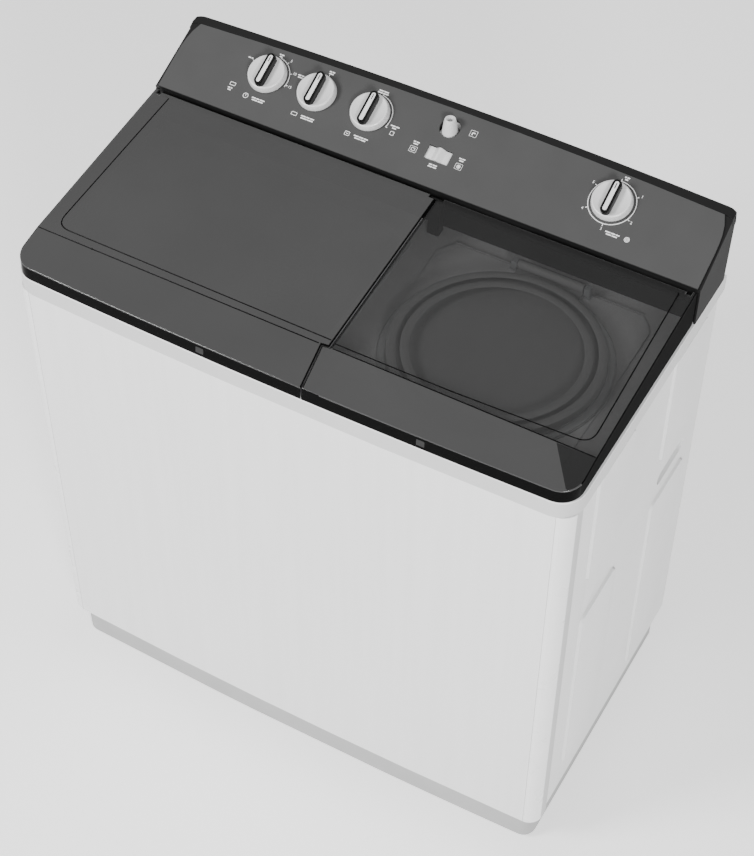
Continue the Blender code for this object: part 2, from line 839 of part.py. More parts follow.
def swept_pipe(name, path, radius, bore, finish, segments=12):
    """A hollow pipe along a path in a plane of constant X, or a polyline with smooth turns."""
    count = len(path)
    outer_rings, inner_rings = [], []
    for i, point in enumerate(path):
        ahead = (path[min(i + 1, count - 1)] - path[max(i - 1, 0)]).normalized()
        across = Vector((1, 0, 0))
        up = across.cross(ahead).normalized()
        across = ahead.cross(up).normalized()
        for rings, r in ((outer_rings, radius), (inner_rings, bore)):
            rings.append([
                point + (across * math.cos(t) + up * math.sin(t)) * r
                for t in (2 * math.pi * k / segments for k in range(segments))
            ])
    loft(name, inner_rings + outer_rings[::-1], finish, closed=True, smooth=True)


def drain_hose():
    """Out of the back near the floor, then up in the back cover's recess."""
    hose_y = REAR_Y - HOSE_RADIUS - 0.0020
    bend = 0.016
    path = [Vector((HOSE_X, 0.165, HOSE_OUT_Z)), Vector((HOSE_X, hose_y - bend, HOSE_OUT_Z))]
    for i in range(1, 7):
        angle = math.radians(90 * i / 6)
        path.append(Vector((
            HOSE_X, hose_y - bend + bend * math.sin(angle), HOSE_OUT_Z + bend - bend * math.cos(angle)
        )))
    path.append(Vector((HOSE_X, hose_y, 0.700)))
    swept_pipe("drain_hose", path, HOSE_RADIUS, HOSE_RADIUS - 0.003, "rubber")


def capacitor():
    place = Matrix.Translation((-0.150, 0.190, 0.0135 + GAP))
    profile = [(0.020, 0), (0.020, 0.004), (0.0175, 0.004), (0.0175, 0.078), (0.014, 0.082)]
    turned("capacitor", profile, "inner_plastic", place=place, segments=20)


# ---------------------------------------------------------------- console


def end_share(x):
    """1 in the middle of the console, 0 at its ends."""
    return 1 - (x / HALF_WIDTH) ** 2


def face_top(x):
    return FACE_LENGTH_END + (FACE_LENGTH_MIDDLE - FACE_LENGTH_END) * end_share(x)


def console_rear(x):
    return CONSOLE_REAR_END + (CONSOLE_REAR_MIDDLE - CONSOLE_REAR_END) * end_share(x)


def console_top(x):
    return CONSOLE_TOP_END + (CONSOLE_TOP_MIDDLE - CONSOLE_TOP_END) * end_share(x)


def corner_tuck(x):
    """How far the console's rear corners are rounded off at x."""
    over = max(0.0, abs(x) - CONSOLE_CORNER_X)
    return CONSOLE_CORNER_RADIUS - math.sqrt(CONSOLE_CORNER_RADIUS**2 - over**2)


def console_section(x, front_y, drop=0.0):
    """Outer (y, z) section of the console: front wall, lip, recessed slope, top and rear overhang."""
    seat = FACE_PLATE + GAP
    top_s = face_top(x) - 0.6 * corner_tuck(x)
    rear = console_rear(x) - corner_tuck(x) - drop
    bottom = DECK_Z + GAP
    edge = face_point(top_s)
    return [
        (CHEEK_REAR_Y, bottom),
        (CHEEK_REAR_Y + 0.0050, 0.9560 - drop),
        (rear - 0.0020, 0.9560 - drop),
        (rear, 0.9590 - drop),
        (rear - 0.0015, console_top(x) - drop - 0.0010),
        (edge[0] + 0.0020, edge[1] + 0.0006 - drop),
        face_point(top_s + 0.0006 - drop, drop),
        face_point(top_s + 0.0003 - drop, seat + drop),
        face_point(0.0003, seat),
        (FACE_Y, FACE_Z - 0.0012),
        (FACE_Y, FACE_Z - 0.0046),
        (front_y, FACE_Z - 0.0062),
        (front_y, bottom),
    ]


def console_housing():
    front = HINGE_Y + 0.0132
    cheek = 0.1274
    outer_x, cheek_x = 0.4346, 0.4318
    stations = [(-outer_x, cheek, 0.0040), (-cheek_x, cheek, 0.0), (-cheek_x + 0.0001, front, 0.0)]
    corner = [0.4235, 0.4280]
    stations += [(-x, front, 0.0) for x in reversed(corner)]
    stations += [(CONSOLE_CORNER_X * i / 5, front, 0.0) for i in range(-5, 6)]
    stations += [(x, front, 0.0) for x in corner]
    stations += [(cheek_x - 0.0001, front, 0.0), (cheek_x, cheek, 0.0), (outer_x, cheek, 0.0040)]
    rings = [[(x, y, z) for y, z in console_section(x, front_y, drop)] for x, front_y, drop in stations]
    housing = loft("console_housing", rings, "panel_black")

    wall = CONSOLE_WALL
    slope_low, slope_high = face_point(0.006, FACE_PLATE + wall), face_point(0.1085, FACE_PLATE + wall)
    inside = [
        (0.30, DECK_Z - 0.02),
        (0.30, 0.9530),
        (slope_high[0] + 0.004, 0.9530),
        slope_high,
        slope_low,
        (front + wall, slope_low[1] - 0.003),
        (front + wall, DECK_Z - 0.02),
    ]
    inner_x = cheek_x - wall
    cavity = loft("console_cavity", [[(x, y, z) for y, z in inside] for x in (-inner_x, inner_x)], "steel")
    cut(housing, cavity)
    for name, x in DIALS.items():
        place = face_place(x, DIAL_S)
        cut(housing, cylinder_tool(f"{name}_hole", 0.0095, -0.012, 0.004, place=place, segments=16))
    spigot_y, spigot_z = face_point(SPIGOT_S)
    spigot = (SPIGOT_X, spigot_y)
    cut(housing, cylinder_tool("spigot_hole", 0.0175, spigot_z - 0.025, spigot_z + 0.015, spigot))
    slide = face_place(SLIDE_X, SLIDE_S)
    cut(housing, box("slide_hole", (-0.042, -0.0140, -0.012), (0.042, 0.0140, 0.004), "steel", slide))


def console_face():
    def half_at(s):
        return FACE_HALF - FACE_CORNER * (s / FACE_LENGTH_END) ** 6

    side = [(half_at(s), s) for s in (FACE_LENGTH_END * i / 8 for i in (4, 5, 6, 7))]
    corner_half = half_at(FACE_LENGTH_END)
    bays = 8
    outline = [(-FACE_HALF, GAP), (FACE_HALF, GAP)] + side
    for i in range(bays + 1):
        x = corner_half * (1 - 2 * i / bays)
        outline.append((x, face_top(x)))
    outline += [(-x, s) for x, s in reversed(side)]
    plate = prism("console_face", outline, -FACE_PLATE, 0, "panel_grey", face_place(0, 0))
    for name, x in DIALS.items():
        place = face_place(x, DIAL_S)
        cut(plate, cylinder_tool(f"{name}_face_hole", 0.0080, -0.01, 0.01, place=place, segments=16))
    spigot_place = face_place(SPIGOT_X, SPIGOT_S)
    cut(plate, cylinder_tool("spigot_face_hole", SPIGOT_RECESS, -0.01, 0.01, place=spigot_place, segments=28))
    half_x, half_s = SLIDE_WINDOW[0] / 2, SLIDE_WINDOW[1] / 2
    slide = face_place(SLIDE_X, SLIDE_S)
    cut(plate, box("slide_window", (-half_x, -half_s, -0.01), (half_x, half_s, 0.01), "steel", slide))


def console_rear_cover():
    wall, half = 0.0025, 0.4314
    low, high = DECK_Z + GAP, 0.9555
    front = CHEEK_REAR_Y + 0.0056
    rear = REAR_Y

    def ring(inset, y):
        corners = [(-half + inset, high - inset), (half - inset, high - inset)]
        corners += [(half - inset, low + inset), (-half + inset, low + inset)]
        return [(x, y, z) for x, z in corners]

    loft(
        "console_rear_cover",
        [ring(wall, rear - wall), ring(wall, front), ring(0, front), ring(0, rear)],
        "cabinet_white",
    )


def dial(name, x):
    """A round knob with a stem, and the finger bar that stands across it."""
    place = face_place(x, DIAL_S)
    r = DIAL_RADIUS
    turned(
        f"{name}_knob",
        [
            (STEM_RADIUS, -0.0200),
            (STEM_RADIUS, 0.0008),
            (r, 0.0008),
            (r, 0.0030),
            (r - 0.0020, 0.0100),
            (r - 0.0040, 0.0118),
            (0.0070, 0.0100),
        ],
        "silver_plastic",
        place=place,
        segments=24,
    )
    half_length, half_width = 0.0255, 0.0058
    outline = []
    for i in range(7):
        angle = math.radians(180 * i / 6)
        reach = half_length - half_width
        outline.append((half_width * math.cos(angle), reach + half_width * math.sin(angle)))
    outline += [(-px, -py) for px, py in outline]
    loft(
        f"{name}_grip",
        [
            [(px, py, 0.0118 + GAP) for px, py in outline],
            [(px, py, 0.0210) for px, py in outline],
            [(px * 0.86, py * 0.97, 0.0220) for px, py in outline],
        ],
        "grip_black",
        place=place,
        smooth=True,
    )


def dial_mechanism(name, x, half, depth):
    """The timer or switch under a knob, bored for the knob's stem."""
    top = -(FACE_PLATE + CONSOLE_WALL + 2 * GAP) - 0.0006
    place = face_place(x, DIAL_S)
    body = box(name, (-half, -half, top - depth), (half, half, top), "inner_plastic", place)
    bore = STEM_RADIUS + GAP
    cut(body, cylinder_tool(name + "_bore", bore, -0.0225, 0.0, place=place, segments=16))


def water_inlet():
    seat_z = face_point(SPIGOT_S)[1] - 0.0125
    y = face_point(SPIGOT_S)[0]
    turned_ring(
        "water_inlet_spigot",
        [
            (0.0055, seat_z - 0.022),
            (0.0080, seat_z - 0.022),
            (0.0080, seat_z),
            (0.0150, seat_z),
            (0.0150, seat_z + 0.0025),
            (0.0118, seat_z + 0.0035),
            (0.0095, SPIGOT_TOP_Z - 0.006),
            (0.0078, SPIGOT_TOP_Z),
            (0.0055, SPIGOT_TOP_Z),
        ],
        "silver_plastic",
        (SPIGOT_X, y),
        20,
    )
    box(
        "water_diverter",
        (SPIGOT_X - 0.060, y - 0.050, DECK_Z + 0.010),
        (SPIGOT_X + 0.060, y + 0.008, seat_z - 0.0245),
        "inner_plastic",
    )
    place = face_place(SLIDE_X, SLIDE_S)
    top = -(FACE_PLATE + 2 * GAP)
    outline = [(-0.030, top - 0.0022), (0.030, top - 0.0022), (0.030, top), (0.0085, top)]
    outline += [(0.0015, 0.0035), (-0.0015, 0.0035), (-0.0085, top), (-0.030, top)]
    half = SLIDE_WINDOW[1] / 2 - 2 * GAP
    rings = [[(px, s, pz) for px, pz in outline] for s in (half, -half)]
    loft("water_selector", rings, "silver_plastic", place=place)


# ---------------------------------------------------------------- lids


def flap_front(x):
    return FRONT_Y + LID_FRONT_INSET - bow(x)


def lid_front_line(x_start, side, bays=6, steps=5):
    """Points of a lid's front edge from the split to its outer side, as (x, y)."""
    half = HALF_WIDTH - LID_INSET
    radius = CORNER_RADIUS - LID_INSET
    turn = half - radius
    lift = bow(turn)
    points = []
    for i in range(bays + 1):
        x = x_start + (side * turn - x_start) * i / bays
        points.append((x, flap_front(x)))
    for i in range(1, steps + 1):
        angle = math.radians(-90 + 90 * i / steps)
        y = FRONT_Y + LID_FRONT_INSET + radius + radius * math.sin(angle) - lift * (1 - i / steps)
        points.append((side * (turn + radius * math.cos(angle)), y))
    return points


def lid_top(x, y):
    """Height of a lid at x, y: the flap rises to the crease, the rest rises to the hinge."""
    front = flap_front(x) + SKIRT_LEAN
    if y <= CREASE_Y:
        return FLAP_FRONT_Z + (CREASE_Z - FLAP_FRONT_Z) * (y - front) / (CREASE_Y - front)
    return CREASE_Z + (LID_REAR_Z - CREASE_Z) * (y - CREASE_Y) / (HINGE_Y - CREASE_Y)


def lid(name, side):
    """One rigid lid, open below: front flap, sloping top, outer skirt and a hinge barrel."""
    inner_x = SPLIT_X + side * LID_GAP
    flap_x = FLAP_SPLIT_X + side * LID_GAP
    front_x = SPLIT_X - 0.001 + side * LID_GAP
    half = HALF_WIDTH - LID_INSET
    front_line = lid_front_line(front_x, side)
    stretch = (side * half - flap_x) / (side * half - front_x)
    crease_xs = [flap_x + stretch * (p[0] - front_x) for p in front_line]
    points, faces = [], []

    def put(x, y, z):
        points.append((x, y, z))
        return len(points) - 1

    skirt = [put(x, y, LID_BOTTOM_Z) for x, y in front_line]
    edge = [put(x, y + SKIRT_LEAN, lid_top(x, y + SKIRT_LEAN)) for x, y in front_line]
    crease = [put(x, CREASE_Y, CREASE_Z) for x in crease_xs[1:]]
    corner_y, start_y = (CREASE_Y - JOG_GAP, CREASE_Y) if side > 0 else (CREASE_Y, CREASE_Y + JOG_GAP)
    crease.insert(0, put(flap_x, corner_y, lid_top(flap_x, corner_y)))
    start = put(inner_x, start_y, lid_top(inner_x, start_y))
    for i in range(len(front_line) - 1):
        faces.append((skirt[i], skirt[i + 1], edge[i + 1], edge[i]))
        if i == 0 and side > 0:
            faces.append((edge[0], edge[1], crease[1], start, crease[0]))
        else:
            faces.append((edge[i], edge[i + 1], crease[i + 1], crease[i]))

    # The top runs from the crease to above the hinge, then round the barrel between the brackets
    inner_end = inner_x + side * HINGE_END
    outer_end = side * (half - HINGE_END)
    row = crease[:]
    if side > 0:
        row[0] = start
    else:
        row.insert(0, start)
    top_xs = [points[i][0] for i in row]
    top_xs[-1] = side * half
    between = [x for x in top_xs if inner_end * side + 0.004 < x * side < outer_end * side - 0.004]
    hinge_xs = [inner_x, inner_end, *between, outer_end, side * half]
    rear = [put(x, HINGE_Y, LID_REAR_Z) for x in hinge_xs]
    top_face = row + rear[::-1]
    faces.append(tuple(top_face))
    arcs = [rear[1:-1]]
    for k in range(1, 6):
        angle = math.radians(90 - 30 * k)
        y = HINGE_Y + BARREL_RADIUS * math.cos(angle)
        z = HINGE_Z + BARREL_RADIUS * math.sin(angle)
        arcs.append([put(x, y, z) for x in hinge_xs[1:-1]])
    for here, there in zip(arcs, arcs[1:]):
        for i in range(len(here) - 1):
            faces.append((here[i], here[i + 1], there[i + 1], there[i]))

    # The outer skirt's side, up to the hinge line and a little behind it
    corner_low, corner_edge = skirt[-1], edge[-1]
    behind = 0.0065
    side_low = put(side * half, HINGE_Y + behind, LID_BOTTOM_Z)
    side_high = put(side * half, HINGE_Y + behind, LID_REAR_Z - 0.002)
    faces.append((corner_low, side_low, side_high, rear[-1], row[-1], corner_edge))
    if side < 0:
        faces = [tuple(reversed(face)) for face in faces]
    shell = add(name, points, faces, "smoke_plastic")
    skin = shell.modifiers.new("skin", "SOLIDIFY")
    skin.thickness = LID_WALL
    skin.offset = -1
    skin.use_even_offset = True
    skin.use_rim = True
    for x in (inner_end, outer_end):
        toward = 1 if (x == inner_end) == (side > 0) else -1
        x0, x1 = sorted((x, x + toward * 0.006))
        along = Matrix.Translation((x0, HINGE_Y, HINGE_Z)) @ Matrix.Rotation(math.radians(90), 4, "Y")
        tag = f"{name}_{'inner' if x == inner_end else 'outer'}"
        lug, bore = BARREL_RADIUS - 0.0012, HINGE_PIN_RADIUS + GAP
        unite(shell, cylinder_tool(tag + "_lug", lug, 0, x1 - x0, place=along, segments=24))
        cut(shell, cylinder_tool(tag + "_bore", bore, -0.004, 0.012, place=along, segments=16))
    return inner_end, outer_end


def hinge_bracket(name, centre_x, half, reach):
    """A post on the deck with an eye, and the pin that reaches into the lids beside it."""
    foot = [(HINGE_Y - 0.010, DECK_Z + GAP), (HINGE_Y + 0.006, DECK_Z + GAP)]
    eye = [
        (HINGE_Y + EYE_RADIUS * math.cos(math.radians(a)), HINGE_Z + EYE_RADIUS * math.sin(math.radians(a)))
        for a in range(0, 181, 30)
    ]
    rings = [[(x, y, z) for y, z in foot + eye] for x in (centre_x - half, centre_x + half)]
    post = loft(name, rings, "inner_plastic")
    low, high = reach
    along = Matrix.Translation((low, HINGE_Y, HINGE_Z)) @ Matrix.Rotation(math.radians(90), 4, "Y")
    unite(post, cylinder_tool(name + "_pin", HINGE_PIN_RADIUS, 0, high - low, place=along, segments=16))


def lids():
    lid("wash_lid", -1)
    lid("spin_lid", 1)
    outer = HALF_WIDTH - LID_INSET
    post_half = 0.0028
    post_x = outer - HINGE_END + 0.0005 + post_half
    reach = HINGE_END + 0.005
    hinge_bracket("hinge_post_left", -post_x, post_half, (-post_x, -outer + reach + 0.0005))
    hinge_bracket("hinge_post_right", post_x, post_half, (outer - reach - 0.0005, post_x))
    middle = HINGE_END + LID_GAP
    hinge_bracket("hinge_post_middle", SPLIT_X, 0.009, (SPLIT_X - middle - 0.005, SPLIT_X + middle + 0.005))


SAFETY_HINGE_Y, SAFETY_HINGE_Z = SPIN_Y + 0.1668, 0.8655


def safety_lid():
    """The inner lid that lies over the spin opening, hinged at its rear."""
    low = DECK_Z + 0.0062
    high = low + 0.0025
    radius, count = 0.150, 36
    angles = [2 * math.pi * i / count for i in range(count)]
    outline = [(SPIN_X + radius * math.cos(a), SPIN_Y + radius * math.sin(a)) for a in angles]
    inner_lid = prism("spin_safety_lid", outline, low, high, "smoke_plastic")
    near, far = (SPIN_X - 0.050, SPIN_Y + 0.130, low), (SPIN_X + 0.050, SAFETY_HINGE_Y, high)
    tongue = box("safety_tongue", near, far, "steel")
    unite(inner_lid, tongue)
    along = Matrix.Translation((SPIN_X - 0.050, SAFETY_HINGE_Y, SAFETY_HINGE_Z))
    along = along @ Matrix.Rotation(math.radians(90), 4, "Y")
    knuckle = cylinder_tool("safety_knuckle", 0.0068, 0, 0.100, place=along, segments=16)
    unite(inner_lid, knuckle)
    cut(inner_lid, cylinder_tool("safety_bore", 0.0028, -0.01, 0.12, place=along, segments=12))
    low_z = DECK_Z + GAP
    post = box(
        "safety_hinge_base",
        (SPIN_X - 0.062, SAFETY_HINGE_Y - 0.006, low_z),
        (SPIN_X + 0.062, SAFETY_HINGE_Y + 0.006, low_z + 0.0045),
        "inner_plastic",
    )
    for side in (-1, 1):
        x0, x1 = sorted((SPIN_X + side * 0.0515, SPIN_X + side * 0.060))
        ear = box(
            f"safety_ear_{side}",
            (x0, SAFETY_HINGE_Y - 0.005, low_z + 0.001),
            (x1, SAFETY_HINGE_Y + 0.005, SAFETY_HINGE_Z + 0.005),
            "steel",
        )
        unite(post, ear)
    unite(post, cylinder_tool("safety_pin", 0.0025, -0.005, 0.105, place=along, segments=12))


def main():
    clear_scene()
    base()
    front_panel()
    side_panel("side_panel_left", -1)
    side_panel("side_panel_right", 1)
    back_cover()
    top_frame()
    wash_tub()
    pulsator()
    wash_drive()
    lint_filter()
    spin_tub()
    spin_basket()
    spin_motor()
    brake()
    drain()
    capacitor()
    console_housing()
    console_face()
    console_rear_cover()
    for name, x in DIALS.items():
        dial(name, x)
    dial_mechanism("wash_timer", DIALS["wash_timer"], 0.026, 0.034)
    dial_mechanism("program_switch", DIALS["program"], 0.018, 0.022)
    dial_mechanism("drain_cam", DIALS["drain"], 0.018, 0.020)
    dial_mechanism("spin_timer", DIALS["spin_timer"], 0.026, 0.034)
    water_inlet()
    lids()
    safety_lid()


main()
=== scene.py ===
"""Looks of the twin tub washer: finer casings, see-through lids, dials, printed marks and materials."""

import json
import math

import bmesh
import bpy
from mathutils import Matrix, Vector
from mathutils.geometry import delaunay_2d_cdt


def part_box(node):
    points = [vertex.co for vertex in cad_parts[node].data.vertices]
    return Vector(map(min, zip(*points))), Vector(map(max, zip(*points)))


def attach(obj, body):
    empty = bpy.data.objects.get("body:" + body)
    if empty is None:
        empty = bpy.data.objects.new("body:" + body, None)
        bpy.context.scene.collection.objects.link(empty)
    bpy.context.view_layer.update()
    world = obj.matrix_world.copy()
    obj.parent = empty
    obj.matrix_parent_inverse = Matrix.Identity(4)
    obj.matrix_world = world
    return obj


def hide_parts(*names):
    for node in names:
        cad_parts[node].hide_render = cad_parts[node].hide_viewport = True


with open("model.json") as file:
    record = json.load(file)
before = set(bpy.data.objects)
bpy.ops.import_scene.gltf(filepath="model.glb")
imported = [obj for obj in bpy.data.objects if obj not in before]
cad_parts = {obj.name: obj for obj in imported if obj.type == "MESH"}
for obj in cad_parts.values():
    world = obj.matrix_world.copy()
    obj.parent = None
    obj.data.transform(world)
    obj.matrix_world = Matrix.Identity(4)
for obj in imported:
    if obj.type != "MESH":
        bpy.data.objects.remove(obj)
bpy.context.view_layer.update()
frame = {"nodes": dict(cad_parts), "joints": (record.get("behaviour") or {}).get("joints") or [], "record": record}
nodes = frame["nodes"]
joints = {joint["name"]: joint for joint in frame["joints"]}
slots = {entry["node"]: entry["material_slot"] for entry in frame["record"]["subparts"]}
body_of = {node: body for body, members in frame["record"]["behaviour"]["bodies"].items() for node in members}

MM = 0.001
WELD = 0.002 * MM  # vertices of a CAD node closer than this are one vertex


# ------------------------------------------------------------------ materials


def principled(name, color, roughness, **extra):
    """A Principled material with one plain colour, to be given its detail by the functions below."""
    made = bpy.data.materials.new(name)
    made.use_nodes = True
    shader = made.node_tree.nodes["Principled BSDF"]
    shader.inputs["Base Color"].default_value = (*color, 1.0)
    shader.inputs["Roughness"].default_value = roughness
    for socket, value in extra.items():
        shader.inputs[socket.replace("_", " ")].default_value = value
    return made


def stretched_noise(material, scale, stretch, detail=3.0):
    """A noise over object space, drawn out along an axis, and its output socket."""
    tree = material.node_tree
    place = tree.nodes.new("ShaderNodeTexCoord")
    spread = tree.nodes.new("ShaderNodeMapping")
    spread.inputs["Scale"].default_value = stretch
    noise = tree.nodes.new("ShaderNodeTexNoise")
    noise.inputs["Scale"].default_value = scale
    noise.inputs["Detail"].default_value = detail
    tree.links.new(place.outputs["Object"], spread.inputs["Vector"])
    tree.links.new(spread.outputs["Vector"], noise.inputs["Vector"])
    return noise.outputs["Fac"]


def vary(material, scale, amount, stretch=(1, 1, 1), rough_amount=0.05):
    """Lets colour and roughness drift a little with a noise."""
    tree = material.node_tree
    shader = tree.nodes["Principled BSDF"]
    fac = stretched_noise(material, scale, stretch)
    base = Vector(shader.inputs["Base Color"].default_value[:3])
    ramp = tree.nodes.new("ShaderNodeValToRGB")
    ramp.color_ramp.elements[0].position = 0.3
    ramp.color_ramp.elements[1].position = 0.7
    ramp.color_ramp.elements[0].color = (*(base * (1 - amount)), 1)
    ramp.color_ramp.elements[1].color = (*(base * (1 + amount)), 1)
    tree.links.new(fac, ramp.inputs["Fac"])
    tree.links.new(ramp.outputs["Color"], shader.inputs["Base Color"])
    rough = shader.inputs["Roughness"].default_value
    spread = tree.nodes.new("ShaderNodeMapRange")
    spread.inputs["To Min"].default_value = max(0.02, rough - rough_amount)
    spread.inputs["To Max"].default_value = min(1.0, rough + rough_amount)
    tree.links.new(fac, spread.inputs["Value"])
    tree.links.new(spread.outputs["Result"], shader.inputs["Roughness"])
    return material


def grain(material, scale, strength, distance=0.0002, stretch=(1, 1, 1), detail=4.0):
    """A fine relief on the surface."""
    tree = material.node_tree
    shader = tree.nodes["Principled BSDF"]
    bump = tree.nodes.new("ShaderNodeBump")
    bump.inputs["Strength"].default_value = strength
    bump.inputs["Distance"].default_value = distance
    fac = stretched_noise(material, scale, stretch, detail)
    tree.links.new(fac, bump.inputs["Height"])
    tree.links.new(bump.outputs["Normal"], shader.inputs["Normal"])
    return material


def moulded(name, color, roughness, amount, relief, **extra):
    """A moulded plastic, rubber or painted surface."""
    made = principled(name, color, roughness, **extra)
    vary(made, 18, amount)
    return grain(made, 900, relief)


MOULDED = {  # finish: (material name, grey, roughness, colour drift, relief, other sockets)
    "white": ("moulded_white", 0.76, 0.34, 0.02, 0.06, {}),
    # a brighter copy of the cabinet white: painted highlight on the side panels' corner pillar
    "pillar": ("pillar_painted_highlight", 0.84, 0.28, 0.02, 0.04, {}),
    # a darker copy of the cabinet white: painted shade on the pillar's side face, the step behind it and the side
    # relief's rear- and down-facing slopes
    "step": ("step_white", 0.50, 0.45, 0.02, 0.04, {}),
    # a darker copy of the rim white: painted shade on the rim's upright faces
    "rim_side_painted_shade": ("rim_painted_shade_white", 0.54, 0.32, 0.02, 0.05, {}),
    "rim": ("rim_white", 0.86, 0.28, 0.02, 0.05, {}),
    "back": ("back_white", 0.60, 0.5, 0.03, 0.10, {}),
    "plinth": ("plinth_grey", 0.36, 0.55, 0.04, 0.15, {}),
    "face": ("panel_satin", 0.066, 0.50, 0.03, 0.08, {"Specular_IOR_Level": 0.22}),
    # a lighter grey copy of the black housing, without reflection: painted light on the console housing's end
    # faces
    "cheek": ("cheek_grey", 0.062, 0.45, 0.03, 0.04, {"Specular_IOR_Level": 0.0}),
    "silver": ("silver_paint", 0.80, 0.32, 0.015, 0.05, {"Metallic": 0.10}),
    "insert": ("bar_insert", 0.90, 0.40, 0.015, 0.05, {}),
    "grip": ("grip_black", 0.005, 0.30, 0.05, 0.05, {"Specular_IOR_Level": 0.2}),
    "print": ("print_white", 0.95, 0.55, 0.01, 0.02, {}),
    "rubber": ("black_rubber", 0.022, 0.75, 0.10, 0.30, {}),
    "screw": ("screw_steel", 0.50, 0.32, 0.05, 0.05, {"Metallic": 1.0}),
    # near-black: painted shade standing in for the basket's holes and the back's vent openings; also the lids'
    # clips
    "hole": ("dark_hole", 0.006, 0.7, 0.05, 0.02, {}),
}
SMOKE = {  # material name: (grey, opacity, roughness, gloss)
    # lighter and less see-through than the spin lid's top though both lids are one plastic: part of its brightness
    # is painted light for the pale tub below
    "smoke_wash": (0.064, 0.80, 0.12, 0.5),
    "smoke_spin": (0.022, 0.485, 0.12, 0.5),
    "smoke_flap": (0.056, 0.90, 0.16, 0.5),
    # a dark copy of the lid plastic: painted shade on the spin lid's flap past the wedge line
    "smoke_wedge_painted_shade": (0.014, 0.92, 0.16, 0.35),
    # a near-black copy of the lid plastic: painted shade on the front skirt, the walls along the parting, the
    # outer rounded edge, the groove lines and the hinge barrel
    "smoke_painted_shade": (0.003, 0.98, 0.20, 0.02),
    # a dark copy of the lid plastic without gloss: painted shade on the lids' outer skirts
    "smoke_side_painted_shade": (0.016, 0.97, 0.25, 0.0),
    "smoke_inner": (0.46, 0.96, 0.25, 0.5),
    "smoke_ring": (0.48, 0.98, 0.25, 0.5),
}


def make_materials():
    made = {}
    for key, (name, grey, roughness, drift, relief, sockets) in MOULDED.items():
        made[key] = moulded(name, (grey, grey, grey), roughness, drift, relief, **sockets)
    for name, look in SMOKE.items():
        made[name] = smoke(name, *look)
    front = principled("front_sheet", (0.78, 0.78, 0.78), 0.34, Coat_Weight=0.25, Coat_Roughness=0.12)
    vary(front, 7, 0.022, stretch=(9, 9, 0.35))
    made["front"] = grain(front, 160, 0.10, stretch=(4, 4, 0.12))
    housing = principled("panel_black", (0.010, 0.010, 0.010), 0.38, Specular_IOR_Level=0.25)
    made["housing"] = vary(housing, 18, 0.05)
    made["tub"] = moulded("tub_plastic", (0.68, 0.69, 0.69), 0.35, 0.02, 0.04)
    made["inner"] = moulded("inner_plastic", (0.50, 0.51, 0.52), 0.50, 0.03, 0.10)
    steel = principled("basket_steel", (0.58, 0.58, 0.58), 0.26, Metallic=1.0)
    vary(steel, 30, 0.05, stretch=(1, 1, 12))
    made["steel"] = grain(steel, 220, 0.15, stretch=(1, 1, 10))
    cast = principled("cast_aluminium", (0.55, 0.55, 0.55), 0.45, Metallic=1.0)
    vary(cast, 45, 0.08)
    made["cast"] = grain(cast, 500, 0.35)
    motor = principled("motor_paint", (0.20, 0.205, 0.21), 0.5, Metallic=0.4)
    vary(motor, 25, 0.08)
    made["motor"] = grain(motor, 400, 0.2)
    return made


def smoke(name, shade, alpha, roughness, gloss):
    """A see-through grey plastic."""
    extra = {"Alpha": alpha, "IOR": 1.49, "Specular_IOR_Level": gloss}
    made = principled(name, (shade, shade, shade), roughness, **extra)
    vary(made, 6, 0.05, rough_amount=0.02)
    return grain(made, 60, 0.03)


MAT = make_materials()

NODE_FINISH = {
    "cabinet_white": "white",
    "front_sheet": "front",
    "plinth_grey": "plinth",
    "smoke_plastic": "smoke_wash",
    "panel_black": "housing",
    "panel_grey": "face",
    "silver_plastic": "silver",
    "grip_black": "grip",
    "tub_white": "tub",
    "steel": "steel",
    "motor_grey": "motor",
    "rubber": "rubber",
    "aluminium": "cast",
    "inner_plastic": "inner",
}
SPECIAL_FINISH = {
    "top_frame": "rim",
    "back_cover": "back",
    "console_rear_cover": "back",
    "spin_safety_lid": "smoke_inner",
    "hinge_post_left": "housing",
    "hinge_post_middle": "housing",
    "hinge_post_right": "housing",
}


def finish_of(node):
    return MAT[SPECIAL_FINISH.get(node, NODE_FINISH[slots[node]])]


# ------------------------------------------------------------------ mesh helpers


def link(name, mesh, material, body):
    made = bpy.data.objects.new(name, mesh)
    bpy.context.scene.collection.objects.link(made)
    for entry in material if isinstance(material, (list, tuple)) else [material]:
        mesh.materials.append(entry)
    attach(made, body)
    return made


def from_bmesh(name, shape, material, body, angle=35):
    bmesh.ops.recalc_face_normals(shape, faces=shape.faces)
    mesh = bpy.data.meshes.new(name)
    shape.to_mesh(mesh)
    shape.free()
    mesh.shade_smooth()
    mesh.set_sharp_from_angle(angle=math.radians(angle))
    return link(name, mesh, material, body)


def refined(node, bevel, segments=3, material=None, angle=28, paint=None):
    """A copy of a CAD node with flat faces merged and its edges rounded, which stands for the node."""
    shape = bmesh.new()
    shape.from_mesh(nodes[node].data)
    bmesh.ops.remove_doubles(shape, verts=shape.verts, dist=WELD)
    bmesh.ops.dissolve_limit(shape, angle_limit=math.radians(0.6), verts=shape.verts, edges=shape.edges)
    if paint:
        shape.faces.ensure_lookup_table()
        for face in shape.faces:
            face.material_index = paint(face)
    made = from_bmesh("fine_" + node, shape, material or finish_of(node), body_of[node])
    edge = made.modifiers.new("edge", "BEVEL")
    edge.width = bevel
    edge.segments = segments
    edge.limit_method = "ANGLE"
    edge.angle_limit = math.radians(angle)
    edge.harden_normals = True
    edge.use_clamp_overlap = True
    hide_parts(node)
    return made


